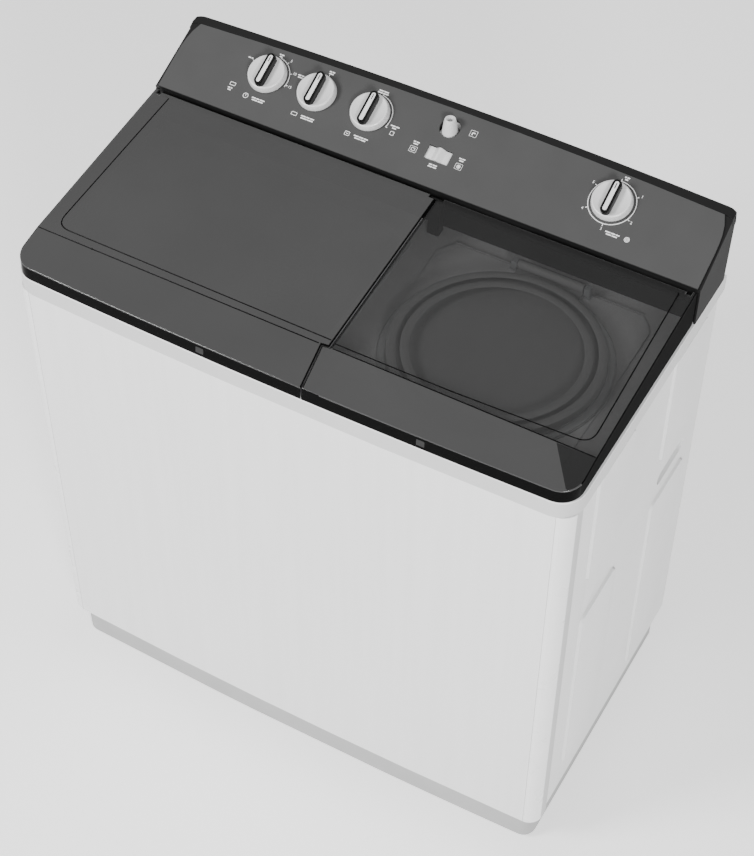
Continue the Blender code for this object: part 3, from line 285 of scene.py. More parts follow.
def add_prism(shape, outline, low, high, place=None, material_index=0):
    """Adds a closed prism of an anticlockwise outline to a bmesh."""
    place = place or Matrix.Identity(4)
    rings = [[shape.verts.new(place @ Vector((x, y, z))) for x, y in outline] for z in (low, high)]
    made = [shape.faces.new(rings[0][::-1]), shape.faces.new(rings[1])]
    for i in range(len(outline)):
        j = (i + 1) % len(outline)
        made.append(shape.faces.new((rings[0][i], rings[0][j], rings[1][j], rings[1][i])))
    for face in made:
        face.material_index = material_index


def turned_rings(shape, profile, place, segments):
    """One ring of vertices about the Z axis of a placement for each (radius, height)."""
    turns = [2 * math.pi * i / segments for i in range(segments)]
    rings = []
    for radius, z in profile:
        spots = [Vector((radius * math.cos(turn), radius * math.sin(turn), z)) for turn in turns]
        rings.append([shape.verts.new(place @ spot) for spot in spots])
    return rings


def add_turned(shape, profile, place=None, segments=48, material_index=0):
    """Adds a turned solid: (radius, height) up its outside, closed flat at both ends."""
    place = place or Matrix.Identity(4)
    rings = turned_rings(shape, profile, place, segments)
    made = [shape.faces.new(rings[0][::-1]), shape.faces.new(rings[-1])]
    for low, high in zip(rings, rings[1:]):
        for i in range(segments):
            j = (i + 1) % segments
            made.append(shape.faces.new((low[i], low[j], high[j], high[i])))
    for face in made:
        face.material_index = material_index


def add_hollow(shape, profile, place=None, segments=48, material_index=0):
    """Adds a turned ring: a closed (radius, height) loop."""
    place = place or Matrix.Identity(4)
    rings = turned_rings(shape, profile, place, segments)
    for low, high in zip(rings, rings[1:] + rings[:1]):
        for i in range(segments):
            j = (i + 1) % segments
            shape.faces.new((low[i], low[j], high[j], high[i])).material_index = material_index


def stadium(half_length, half_width, steps=10):
    """Anticlockwise outline with round ends, long along Y."""
    points = []
    for i in range(steps + 1):
        turn = math.pi * i / steps
        points.append((half_width * math.cos(turn), half_length - half_width + half_width * math.sin(turn)))
    return points + [(-x, -y) for x, y in points]


def rounded(half_x, half_y, radius, steps=5):
    points = []
    for cx, cy, start in ((1, -1, -90), (1, 1, 0), (-1, 1, 90), (-1, -1, 180)):
        for i in range(steps + 1):
            turn = math.radians(start + 90 * i / steps)
            points.append((
                cx * (half_x - radius) + radius * math.cos(turn),
                cy * (half_y - radius) + radius * math.sin(turn),
            ))
    return points


# ------------------------------------------------------------------ control face frame


def face_frame():
    """Origin and axes of the sloping control face: X across, Y up the slope, Z out of it."""
    dial = joints["wash_timer_turn"]
    out = -Vector(dial["axis"]).normalized()
    across = Vector((1, 0, 0))
    up = out.cross(across)
    axes = Matrix((across, up, out)).transposed().to_4x4()
    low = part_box("console_face")[0]
    lift = (Vector(dial["pos_m"]) - Vector((dial["pos_m"][0], low.y, low.z))).dot(up)
    return Vector(dial["pos_m"]) - across * dial["pos_m"][0] - up * lift, axes, lift


FACE_ORIGIN, FACE_AXES, DIAL_S = face_frame()


def on_face(x, s, lift=0.0, turn=0.0):
    """A placement on the control face, turned clockwise by turn degrees."""
    spot = FACE_ORIGIN + FACE_AXES.to_3x3() @ Vector((x, s, lift))
    return Matrix.Translation(spot) @ FACE_AXES @ Matrix.Rotation(-math.radians(turn), 4, "Z")


# ------------------------------------------------------------------ casings


PILLAR_LENGTH, STEP_LENGTH = 36.0 * MM, 6.5 * MM
PLAIN, PILLAR_HIGHLIGHT, PAINTED_SHADE = range(3)  # finishes of a side panel's faces: plain, painted highlight on the corner pillar, painted shade
# finishes of the top frame: its top, and painted shade on its upright faces
RIM_TOP, RIM_SHADED_SIDE = range(2)
# finishes of the console housing: its black, and painted light on its end faces
FRONT, CHEEK_LIT = range(2)


def casings():
    refined("front_panel", 0.4 * MM, 2)
    step_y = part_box("side_panel_left")[0].y + PILLAR_LENGTH

    # Paints light by facing: a painted highlight on the pillar's rounded corner, and painted shade on the
    # side-facing faces near it, the step behind it and the relief's rear- and down-facing slopes.
    def pillar(face):
        normal, centre = face.normal, face.calc_center_median()
        if centre.y < step_y + STEP_LENGTH:
            if abs(normal.z) > 0.5:
                return PLAIN
            return PAINTED_SHADE if abs(normal.x) > 0.97 or centre.y > step_y else PILLAR_HIGHLIGHT
        sloped = 0.2 < abs(normal.x) < 0.8
        return PAINTED_SHADE if sloped and (normal.y > 0.3 or normal.z < -0.3) else PLAIN

    # Upright faces of the rim get a darker white as painted shade.
    def rim(face):
        return RIM_SHADED_SIDE if abs(face.normal.z) < 0.3 else RIM_TOP

    for side in ("left", "right"):
        panel_finishes = [MAT["white"], MAT["pillar"], MAT["step"]]
        refined("side_panel_" + side, 0.8 * MM, 3, panel_finishes, paint=pillar)
    refined("top_frame", 0.9 * MM, 3, [MAT["rim"], MAT["rim_side_painted_shade"]], paint=rim)
    refined("base_plinth", 1.5 * MM, 3)
    refined("back_cover", 1.0 * MM, 3)
    refined("console_rear_cover", 0.8 * MM, 3)
    refined("console_face", 0.35 * MM, 2)

    # End faces of the console housing get a lighter grey as painted light.
    def shade(face):
        return CHEEK_LIT if abs(face.normal.x) > 0.5 else FRONT

    refined("console_housing", 1.0 * MM, 3, [MAT["housing"], MAT["cheek"]], paint=shade)
    refined("water_inlet_spigot", 0.5 * MM, 2)
    refined("water_selector", 0.5 * MM, 2)
    for foot in ("front_left", "front_right", "rear_left", "rear_right"):
        refined("foot_" + foot, 0.6 * MM, 2)


# ------------------------------------------------------------------ lids

CREASE_Y, CREASE_Z = -0.1810, 0.8849
FLAP_FRONT_Z = 0.8723
SPLIT_X, FLAP_SPLIT_X = 0.0401, 0.0290  # the line between the lids, behind and in front of the crease
SPLIT_GAP, JOG_GAP = 1.0 * MM, 1.5 * MM
FRONT_BOW = 8.1 * MM
SKIRT_LEAN = 1.8 * MM
PLATE = 2.5 * MM
LIP = 2.9 * MM
EDGE_RADIUS = 1.6 * MM
GROOVE_HALF, GROOVE_DEPTH = 0.9 * MM, 0.6 * MM
LID_LOW, LID_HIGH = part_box("wash_lid")
LID_HALF = -LID_LOW.x
RIM_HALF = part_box("top_frame")[1].x
RIM_FRONT_END = LID_LOW.y + FRONT_BOW
LID_CORNER = 32.3 * MM
REAR_REACH = 2.0 * MM
HINGE_Y, HINGE_Z = joints["wash_lid_hinge"]["pos_m"][1:]
BARREL_RADIUS = LID_HIGH.z - HINGE_Z - 0.6 * MM
BRACKET_ROOM = 12.2 * MM  # length at each end of a lid's rear edge that a hinge post needs
EAR, MIDDLE_POST, CLEAR = 5.6 * MM, 9.0 * MM, 0.6 * MM  # lid end beside a post, half the middle post, play
LID_SLOPE = (LID_HIGH.z - CREASE_Z) / (HINGE_Y - CREASE_Y)
GLASS, FLAP, DARK_SHADE, SIDE_SHADE, WEDGE_SHADE, UNDERSIDE = range(6)  # finishes of a lid's faces: clear top, flap, near-black painted shade, dark painted shade on the outer skirt, painted shade on the spin lid's flap corner, underside
WEDGE = ((0.3745, CREASE_Y - 1.5 * MM), (0.4150, -0.2372))  # line across the flap's outer corner; past it the spin lid's flap gets painted shade
WINDOW_REAR = HINGE_Y - 5 * MM
LID_WINDOWS = {  # plan of the moulded line on each lid's top
    "wash_lid": ((0.0365, -0.1693), (-0.4085, -0.1675), (-0.4020, WINDOW_REAR)),
    "spin_lid": ((0.0440, -0.1726), (0.2150, -0.1720), (0.4145, -0.1648), (0.4105, WINDOW_REAR)),
}
STOP_X = 0.339
CLIP_X = {"wash_lid": -0.1185, "spin_lid": 0.216}


def lid_front(x):
    return RIM_FRONT_END - FRONT_BOW * (1 - (x / RIM_HALF) ** 2)


def lid_height(x, y):
    """The flap rises to the crease, the rest rises to the hinge."""
    if y >= CREASE_Y:
        return min(CREASE_Z + LID_SLOPE * (y - CREASE_Y), LID_HIGH.z)
    front = lid_front(x) + SKIRT_LEAN
    return FLAP_FRONT_Z + (CREASE_Z - FLAP_FRONT_Z) * (y - front) / (CREASE_Y - front)


def lid_plan(side):
    """One lid's outline, anticlockwise, as (x, y, lean, skirted)."""
    gap = side * SPLIT_GAP
    top_x, flap_x, front_x = SPLIT_X + gap, FLAP_SPLIT_X + gap, SPLIT_X - MM + gap
    turn = LID_HALF - LID_CORNER
    ear_y, rear, notch = HINGE_Y + 6.5 * MM, HINGE_Y + REAR_REACH, HINGE_Y - 3 * MM
    plan = [(top_x, notch, 0, False)]
    plan.append((top_x, CREASE_Y if side > 0 else CREASE_Y + JOG_GAP, 0, False))
    plan.append((flap_x, CREASE_Y - JOG_GAP if side > 0 else CREASE_Y, 0, False))
    plan.append((front_x - 0.5 * MM, lid_front(front_x) + 3.2 * MM, 1, False))
    bays, steps = 14, 12
    for i in range(bays + 1):
        x = front_x + (side * turn - front_x) * i / bays
        plan.append((x, lid_front(x), 1, True))
    lift = RIM_FRONT_END - lid_front(turn)
    for i in range(1, steps + 1):
        angle = math.radians(-90 + 90 * i / steps)
        share = 1 - i / steps
        y = RIM_FRONT_END + LID_CORNER * (1 + math.sin(angle)) - lift * share
        plan.append((side * (turn + LID_CORNER * math.cos(angle)), y, share, True))
    plan.append((side * LID_HALF, CREASE_Y, 0, True))
    plan.append((side * LID_HALF, ear_y, 0, True))
    plan.append((side * (LID_HALF - 3 * MM), ear_y, 0, False))
    inner_post = SPLIT_X + side * (MIDDLE_POST + CLEAR)
    for reach, depths in ((EAR, (ear_y, notch)), (BRACKET_ROOM, (notch, rear))):
        plan += [(side * (LID_HALF - reach), y, 0, False) for y in depths]
    plan += [(inner_post, rear, 0, False), (inner_post, notch, 0, False)]
    return plan if side > 0 else plan[::-1]


def inset(outline, distance):
    """An anticlockwise outline moved inward."""
    moved = []
    for i, here in enumerate(outline):
        into = (here - outline[i - 1]).normalized()
        away = (outline[(i + 1) % len(outline)] - here).normalized()
        a, b = Vector((-into.y, into.x)), Vector((-away.y, away.x))
        moved.append(here + (a + b) * distance / (1 + a.dot(b)))
    return moved


def corner_path(points, radius, steps=8):
    """A polyline in plan with its inner corners rounded."""
    path = [Vector(points[0])]
    for before, corner, after in zip(points, points[1:], points[2:]):
        corner = Vector(corner)
        into = (Vector(before) - corner).normalized()
        away = (Vector(after) - corner).normalized()
        start, end = corner + into * radius, corner + away * radius
        for i in range(steps + 1):
            t = i / steps
            path.append(start * (1 - t) ** 2 + corner * 2 * t * (1 - t) + end * t**2)
    path.append(Vector(points[-1]))
    return path


def beside(path, distance):
    """A polyline moved to its left."""
    moved = []
    for i, here in enumerate(path):
        ahead = (path[min(i + 1, len(path) - 1)] - path[max(i - 1, 0)]).normalized()
        moved.append(here + Vector((-ahead.y, ahead.x)) * distance)
    return moved


def distance_to(path, point):
    best = 1.0
    for a, b in zip(path, path[1:]):
        run = b - a
        share = max(0.0, min(1.0, (point - a).dot(run) / run.length_squared))
        best = min(best, (point - a - run * share).length)
    return best


def filled(shape, outline, grooves, extra, height, index):
    """Fills an outline with triangles that follow the grooves, at the heights of a function."""
    points = list(outline)
    edges = [(i, (i + 1) % len(outline)) for i in range(len(outline))]
    for path in [line for groove in grooves for line in groove] + extra:
        first = len(points)
        points += path
        edges += [(first + i, first + i + 1) for i in range(len(path) - 1)]
    flat, _, faces, *_ = delaunay_2d_cdt(points, edges, [], 1, 1e-7)
    verts = []
    for spot in flat:
        depth = 0.0
        for groove in grooves:
            depth = max(depth, GROOVE_DEPTH * (1 - distance_to(groove[1], spot) / GROOVE_HALF))
        verts.append(shape.verts.new((spot.x, spot.y, height(spot.x, spot.y) - max(0.0, depth))))
    made = []
    for face in faces:
        try:
            made.append(shape.faces.new([verts[i] for i in face]))
        except ValueError:
            continue
        made[-1].material_index = index(made[-1].calc_center_median())
    return made


def lid(node, side, window, finishes):
    """A see-through lid: flap, sloping top with moulded lines, skirt, lips and underside."""
    plan = lid_plan(side)
    foot = [Vector((x, y)) for x, y, _, _ in plan]
    brow = [Vector((x, y + SKIRT_LEAN * lean)) for x, y, lean, _ in plan]
    plateau = inset(brow, EDGE_RADIUS)
    heights = [lid_height(p.x, p.y) for p in plateau]
    lows = [LID_LOW.z if deep else z - LIP for z, (_, _, _, deep) in zip(heights, plan)]
    under = inset(brow, PLATE)
    rings = [
        (under, [lid_height(p.x, p.y) - PLATE for p in under]),
        (inset(foot, PLATE), lows),
        (inset(foot, 0.5 * MM), lows),
        (foot, [z + 0.5 * MM for z in lows]),
    ]
    steps = 6
    for i in range(steps + 1):
        angle = math.radians(90 * i / steps)
        drop = EDGE_RADIUS * (1 - math.sin(angle))
        rings.append((inset(brow, EDGE_RADIUS * (1 - math.cos(angle))), [z - drop for z in heights]))

    shape = bmesh.new()
    rows = [[shape.verts.new((p.x, p.y, z)) for p, z in zip(line, zs)] for line, zs in rings]
    corner_y = RIM_FRONT_END + LID_CORNER
    for level, (near, far) in enumerate(zip(rows, rows[1:])):
        for i in range(len(near)):
            j = (i + 1) % len(near)
            face = shape.faces.new((near[i], near[j], far[j], far[i]))
            centre = face.calc_center_median()
            outer = abs(centre.x) > LID_HALF - 4 * MM
            front = centre.y < corner_y - 9 * MM
            parting = abs(centre.x - SPLIT_X) < 13 * MM and near is not rows[0]
            # The front skirt, the walls along the parting and the outer rounded edge get near-black painted shade;
            # the outer skirt gets a dark painted shade.
            if level < 4:
                face.material_index = DARK_SHADE if front or parting else SIDE_SHADE if outer else GLASS
            else:
                face.material_index = DARK_SHADE if parting or (outer and not front) else FLAP

    window_path = corner_path(window, 22 * MM)
    crease_start = max(side * SPLIT_X, side * FLAP_SPLIT_X) + SPLIT_GAP + 4 * MM
    crease_path = [
        Vector((side * crease_start, CREASE_Y)),
        Vector((side * (LID_HALF - EDGE_RADIUS - 1.5 * MM), CREASE_Y)),
    ]
    grooves = []
    for path in (window_path, crease_path):
        grooves.append([beside(path, GROOVE_HALF), path, beside(path, -GROOVE_HALF)])
    wedge = [Vector((side * x, y)) for x, y in WEDGE]

    def tone(centre):
        spot = centre.xy
        # The groove lines get near-black painted shade; past the wedge line the spin lid's flap corner gets a dark
        # painted shade.
        if min(distance_to(window_path, spot), distance_to(crease_path, spot)) < GROOVE_HALF * 0.9:
            return DARK_SHADE
        if centre.y > CREASE_Y:
            return GLASS
        run = wedge[1] - wedge[0]
        across = (run.x * (spot.y - wedge[0].y) - run.y * (spot.x - wedge[0].x)) * side
        return WEDGE_SHADE if across > 0 and abs(spot.x) > abs(wedge[0].x) else FLAP

    def under_height(x, y):
        return lid_height(x, y) - PLATE

    flat = filled(shape, plateau, grooves, [wedge], lid_height, tone)
    flat += filled(shape, under, [], [crease_path], under_height, lambda centre: UNDERSIDE)
    flat_faces = set(flat)
    bmesh.ops.remove_doubles(shape, verts=shape.verts, dist=0.01 * MM)
    bmesh.ops.recalc_face_normals(shape, faces=shape.faces)
    for face in shape.faces:
        face.smooth = True
    for edge in shape.edges:
        if len(edge.link_faces) == 2:
            level_side = any(f in flat_faces for f in edge.link_faces)
            edge.smooth = edge.calc_face_angle(0) < math.radians(1 if level_side else 35)
    mesh = bpy.data.meshes.new(node + "_shell")
    shape.to_mesh(mesh)
    shape.free()
    made = link(node + "_shell", mesh, finishes, body_of[node])
    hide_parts(node)


def lid_barrel(node, side):
    """The hollow barrel under a lid's rear edge that the hinge pins go into."""
    start = SPLIT_X + side * (SPLIT_GAP + BRACKET_ROOM)
    end = side * (LID_HALF - BRACKET_ROOM)
    low, high = sorted((start, end))
    place = Matrix.Translation((low, HINGE_Y, HINGE_Z)) @ Matrix.Rotation(math.radians(90), 4, "Y")
    length, bore, ease = high - low, 2.6 * MM, 0.6 * MM
    shape = bmesh.new()
    profile = [(bore, 0), (BARREL_RADIUS - ease, 0), (BARREL_RADIUS, ease), (BARREL_RADIUS, length - ease)]
    profile += [(BARREL_RADIUS - ease, length), (bore, length)]
    add_hollow(shape, profile, place, 32)
    # near-black as painted shade
    from_bmesh(node + "_barrel", shape, MAT["smoke_painted_shade"], body_of[node])


def lid_trim(node, side):
    """The round stop on the crease and the clip let into the front skirt."""
    stop = bmesh.new()
    place = Matrix.Translation((side * STOP_X, CREASE_Y, CREASE_Z - 0.4 * MM))
    add_turned(stop, [(1.6 * MM, -1.0 * MM), (1.6 * MM, 0.6 * MM), (1.0 * MM, 1.0 * MM)], place, 20)
    from_bmesh(node + "_stop", stop, MAT["grip"], body_of[node])
    clip = bmesh.new()
    x = CLIP_X[node]
    lean = math.atan2(SKIRT_LEAN, FLAP_FRONT_Z - LID_LOW.z)
    place = Matrix.Translation((x, lid_front(x) + 0.5 * SKIRT_LEAN, (LID_LOW.z + FLAP_FRONT_Z) / 2))
    place = place @ Matrix.Rotation(math.radians(90) - lean, 4, "X")
    add_prism(clip, rounded(6.0 * MM, 5.0 * MM, 1.0 * MM), -0.3 * MM, 0.35 * MM, place)
    from_bmesh(node + "_clip", clip, MAT["hole"], body_of[node])


SAFETY_RINGS = (0.985, 0.86)  # outer radii of the inner lid's raised rings, as shares of its own


def lids():
    for node, side in (("wash_lid", -1), ("spin_lid", 1)):
        glass = "smoke_wash" if side < 0 else "smoke_spin"
        # the spin lid's flap corner gets painted shade; the wash lid's keeps the flap's plastic
        wedge = "smoke_flap" if side < 0 else "smoke_wedge_painted_shade"
        finishes = [MAT[key] for key in (glass, "smoke_flap", "smoke_painted_shade", "smoke_side_painted_shade", wedge, glass)]
        lid(node, side, LID_WINDOWS[node], finishes)
        lid_barrel(node, side)
        lid_trim(node, side)
    refined("spin_safety_lid", 0.4 * MM, 2)
    low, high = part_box("spin_safety_lid")
    centre_x, radius = (low.x + high.x) / 2, (high.x - low.x) / 2
    centre = Matrix.Translation((centre_x, low.y + radius, high.z))
    rings = bmesh.new()
    for share in SAFETY_RINGS:
        outer = radius * share
        profile = [(outer - 12 * MM, -0.4 * MM), (outer, -0.4 * MM)]
        profile += [(outer - 3 * MM, 0.7 * MM), (outer - 9 * MM, 0.7 * MM)]
        add_hollow(rings, profile, centre, 96)
    from_bmesh("safety_rings", rings, MAT["smoke_ring"], body_of["spin_safety_lid"])


# ------------------------------------------------------------------ dials


DISC_PROFILE = (  # (radius, height) in mm, from the stem up the skirt and over the dished top
    (4.0, -19),
    (4.0, 0.9),
    (28.6, 0.9),
    (29.5, 1.6),
    (29.5, 3.2),
    (29.0, 6.0),
    (28.2, 9.6),
    (27.5, 11.2),
    (26.4, 12.0),
    (25.2, 11.8),
    (24.0, 11.1),
    (16.0, 10.2),
    (6.0, 9.9),
)
# The bar's cross-sections, bottom to top: (share of its full width, height in mm)
BAR_RINGS = ((1.0, 9.6), (1.0, 14), (0.98, 18.8), (0.95, 20.8), (0.88, 21.5), (0.56, 21.5), (0.55, 21.0))


def dial(name, joint):
    """Skirt, dished disc, raised bar with a pale top and a pointer line; it turns with the dial's body."""
    centre = Vector(joints[joint]["pos_m"])
    place = Matrix.Translation(centre) @ FACE_AXES
    body = body_of[name + "_knob"]
    disc = bmesh.new()
    add_turned(disc, [(radius * MM, z * MM) for radius, z in DISC_PROFILE], place, 72)
    knob = from_bmesh(name + "_disc", disc, MAT["silver"], body, 50)
    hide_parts(name + "_knob")

    bar = bmesh.new()
    length, width = 26.5 * MM, 6.9 * MM
    rings = []
    for grow, z in BAR_RINGS:
        outline = stadium(length - (1 - grow) * width, width * grow)
        rings.append([bar.verts.new(place @ Vector((x, y, z * MM))) for x, y in outline])
    for low, high in zip(rings, rings[1:]):
        for i in range(len(low)):
            j = (i + 1) % len(low)
            bar.faces.new((low[i], low[j], high[j], high[i]))
    bar.faces.new(rings[0][::-1])
    bar.faces.new(rings[-1])
    grip = from_bmesh(name + "_bar", bar, MAT["grip"], body, 40)
    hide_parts(name + "_grip")

    top = bmesh.new()
    add_prism(top, stadium(length - 0.52 * width, width * 0.45), 20.7 * MM, 21.3 * MM, place)
    insert = from_bmesh(name + "_bar_top", top, MAT["insert"], body)
    insert.modifiers.new("edge", "BEVEL").width = 0.25 * MM
    line = bmesh.new()
    tip = place @ Matrix.Translation((0, 16.0 * MM, 0))
    add_prism(line, stadium(4.6 * MM, 0.7 * MM, 4), 21.1 * MM, 21.45 * MM, tip)
    from_bmesh(name + "_pointer", line, MAT["grip"], body)


# ------------------------------------------------------------------ printed marks


PRINT_LOW, PRINT_HIGH = -0.05 * MM, 0.14 * MM


class Print:
    """White marks on the control face, gathered in one mesh."""

    def __init__(self):
        self.shape = bmesh.new()

    def outline(self, points, place):
        add_prism(self.shape, points, PRINT_LOW, PRINT_HIGH, place)

    def arc(self, x, s, radius, width, start, end, steps=40):
        """A band round a dial, angles clockwise from straight up the slope."""
        closed = end - start >= 360
        outer, inner = [], []
        for i in range(steps + (0 if closed else 1)):
            turn = math.radians(start + (end - start) * i / steps)
            ray = Vector((math.sin(turn), math.cos(turn)))
            outer.append(ray * (radius + width / 2))
            inner.append(ray * (radius - width / 2))
        self.band(inner, outer, on_face(x, s), closed)

    def band(self, inner, outer, place, closed):
        """A strip between two lines of points, as one closed body."""
        rows = []
        for near, far in zip(inner, outer):
            corners = ((near, PRINT_LOW), (far, PRINT_LOW), (far, PRINT_HIGH), (near, PRINT_HIGH))
            rows.append([self.shape.verts.new(place @ Vector((*spot, z))) for spot, z in corners])
        for here, there in zip(rows, rows[1:] + (rows[:1] if closed else [])):
            for k in range(4):
                self.shape.faces.new((here[k], there[k], there[k - 3], here[k - 3]))
        if not closed:
            self.shape.faces.new(rows[0])
            self.shape.faces.new(rows[-1][::-1])

    def tick(self, x, s, turn, near, far, width=1.1 * MM):
        place = on_face(x, s, turn=turn)
        half = width / 2
        self.outline([(-half, near), (half, near), (half, far), (-half, far)], place)

    def frame(self, x, s, half_x, half_s, line=0.5 * MM, radius=1.2 * MM):
        """An outlined rounded rectangle."""
        outer = rounded(half_x, half_s, radius)
        inner = rounded(half_x - line, half_s - line, max(radius - line, 0.2 * MM))
        self.band(inner, outer, on_face(x, s), True)

    def block(self, x, s, half_x, half_s, turn=0.0):
        place = on_face(x, s, turn=turn)
        self.outline([(-half_x, -half_s), (half_x, -half_s), (half_x, half_s), (-half_x, half_s)], place)

    def lines(self, x, s, widths, height=1.8 * MM, pitch=3.3 * MM, stretch=1.3):
        """Rows of short plain dashes in place of wording, centred on x."""
        for row, words in enumerate(widths):
            unit = stretch * MM
            left = x - (sum(words) + 0.7 * (len(words) - 1)) * unit / 2
            for word in words:
                self.block(left + word * unit / 2, s - row * pitch, word * unit / 2, height / 2)
                left += (word + 0.7) * unit

    def number(self, text, x, s, size=6.0 * MM):
        curve = bpy.data.curves.new("number", "FONT")
        curve.body = text
        curve.size = size
        curve.align_x, curve.align_y = "CENTER", "CENTER"
        curve.extrude = (PRINT_HIGH - PRINT_LOW) / 2
        holder = bpy.data.objects.new("number", curve)
        bpy.context.scene.collection.objects.link(holder)
        bpy.context.view_layer.update()
        mesh = bpy.data.meshes.new_from_object(holder.evaluated_get(bpy.context.evaluated_depsgraph_get()))
        digits = bmesh.new()
        digits.from_mesh(mesh)
        bmesh.ops.remove_doubles(digits, verts=digits.verts, dist=0.001 * MM)
        digits.to_mesh(mesh)
        digits.free()
        mesh.transform(on_face(x, s, (PRINT_HIGH + PRINT_LOW) / 2))
        self.shape.from_mesh(mesh)
        bpy.data.objects.remove(holder)

    def finish(self, name):
        return from_bmesh(name, self.shape, MAT["print"], "machine")


def around(x, s, turn, distance):
    turn = math.radians(turn)
    return x + distance * math.sin(turn), s + distance * math.cos(turn)


def face_print():
    marks = Print()
    wash = joints["wash_timer_turn"]["pos_m"][0]
    program = joints["program_turn"]["pos_m"][0]
    drain = joints["drain_turn"]["pos_m"][0]
    spin = joints["spin_timer_turn"]["pos_m"][0]
    s = DIAL_S
    ring = 32.6 * MM

    marks.arc(wash, s, ring, 1.1 * MM, 8, 104)
    for turn, text in ((34, "5"), (66, "10"), (98, "15")):
        marks.tick(wash, s, turn, ring, ring + 3.2 * MM)
        marks.number(text, *around(wash, s, turn, ring + 7.5 * MM))
    marks.tick(wash, s, -66, ring, ring + 4.2 * MM)
    marks.lines(*around(wash, s, -66, ring + 9 * MM), [(3, 2.5)])
    marks.lines(wash + 4 * MM, s + 37.5 * MM, [(2, 3), (3.5,)])
    marks.frame(wash - 43 * MM, s - 31 * MM, 4.6 * MM, 2.8 * MM, 0.8 * MM)
    marks.lines(wash - 44 * MM, s - 38 * MM, [(3, 2), (4,)])
    marks.arc(wash - 16 * MM, s - 41 * MM, 3.8 * MM, 0.9 * MM, 0, 360, 24)
    marks.block(wash - 16 * MM, s - 40 * MM, 0.5 * MM, 1.6 * MM)
    marks.lines(wash + 5 * MM, s - 40 * MM, [(5, 4, 6), (7, 6.5)])

    marks.tick(program, s, 6, 30.5 * MM, 34 * MM)
    marks.lines(program + 5 * MM, s + 39 * MM, [(3, 3), (5.5,)])
    marks.tick(program, s, -66, 30.5 * MM, 34 * MM)
    marks.lines(*around(program, s, -64, 40 * MM), [(4, 3), (6,)])
    marks.frame(program - 17 * MM, s - 41 * MM, 4.6 * MM, 2.8 * MM, 0.8 * MM)
    marks.lines(program + 5 * MM, s - 40 * MM, [(6, 4, 5), (8, 7)])

    marks.arc(drain, s, ring, 1.1 * MM, 6, 110)
    marks.tick(drain, s, 110, ring, ring + 3 * MM)
    marks.lines(drain + 3 * MM, s + 38.5 * MM, [(5, 6), (6, 6.5)])
    marks.lines(*around(drain, s, 98, 44 * MM), [(6, 4), (5,)])
    marks.frame(drain + 44 * MM, s - 17.5 * MM, 3.2 * MM, 3.2 * MM, 0.8 * MM)
    marks.frame(drain - 17 * MM, s - 41 * MM, 4.0 * MM, 3.4 * MM, 0.8 * MM)
    marks.block(drain - 17 * MM, s - 41 * MM, 1.4 * MM, 0.6 * MM)
    marks.lines(drain + 5 * MM, s - 40 * MM, [(6, 5, 5), (7, 6)])

    marks.arc(spin, s, 33.6 * MM, 1.1 * MM, 0, 360, 96)
    for i in range(6):
        turn = 60 * i - 3
        marks.tick(spin, s, turn, 33.6 * MM, 37.4 * MM)
        if i:
            marks.number(str(i), *around(spin, s, turn, 41.5 * MM))
    marks.lines(spin + 4 * MM, s + 41.5 * MM, [(2, 3), (3.5,)])
    marks.lines(spin + 20 * MM, s - 42.5 * MM, [(6, 5, 4), (6, 6)])
    for radius in (1.2, 2.4, 3.6):
        marks.arc(spin + 42 * MM, s - 43.5 * MM, radius * MM, 0.7 * MM, 0, 360, 24)

    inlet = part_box("water_inlet_spigot")
    inlet_x = (inlet[0].x + inlet[1].x) / 2
    icon_x, icon_s = inlet_x + 35.5 * MM, DIAL_S + 24.5 * MM
    marks.frame(icon_x, icon_s, 5.4 * MM, 5.0 * MM)
    marks.block(icon_x + 0.3 * MM, icon_s + 1.2 * MM, 2.4 * MM, 0.8 * MM)
    marks.block(icon_x - 1.6 * MM, icon_s - 0.6 * MM, 0.9 * MM, 2.0 * MM)

    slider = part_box("water_selector")
    slide_x = (slider[0].x + slider[1].x) / 2
    slide_s = DIAL_S - 23.5 * MM
    left, right = slide_x - 38 * MM, slide_x + 35 * MM
    marks.frame(left, slide_s - 5 * MM, 5.6 * MM, 4.8 * MM)
    marks.frame(left, slide_s - 5 * MM, 3.0 * MM, 2.4 * MM, 0.8 * MM, 0.6 * MM)
    marks.lines(left, slide_s + 7 * MM, [(3, 3.5), (5.5,)])
    marks.frame(right, slide_s - 6 * MM, 5.4 * MM, 4.8 * MM)
    for radius in (0.9, 2.4):
        marks.arc(right, slide_s - 6 * MM, radius * MM, 1.1 * MM, 0, 360, 20)
    marks.lines(right, slide_s + 6.5 * MM, [(3, 3.5), (5,)])
    marks.lines(slide_x, slide_s - 17 * MM, [(4, 5), (5, 4.5)])
    marks.finish("face_print")


# ------------------------------------------------------------------ tubs


BLADES = 6


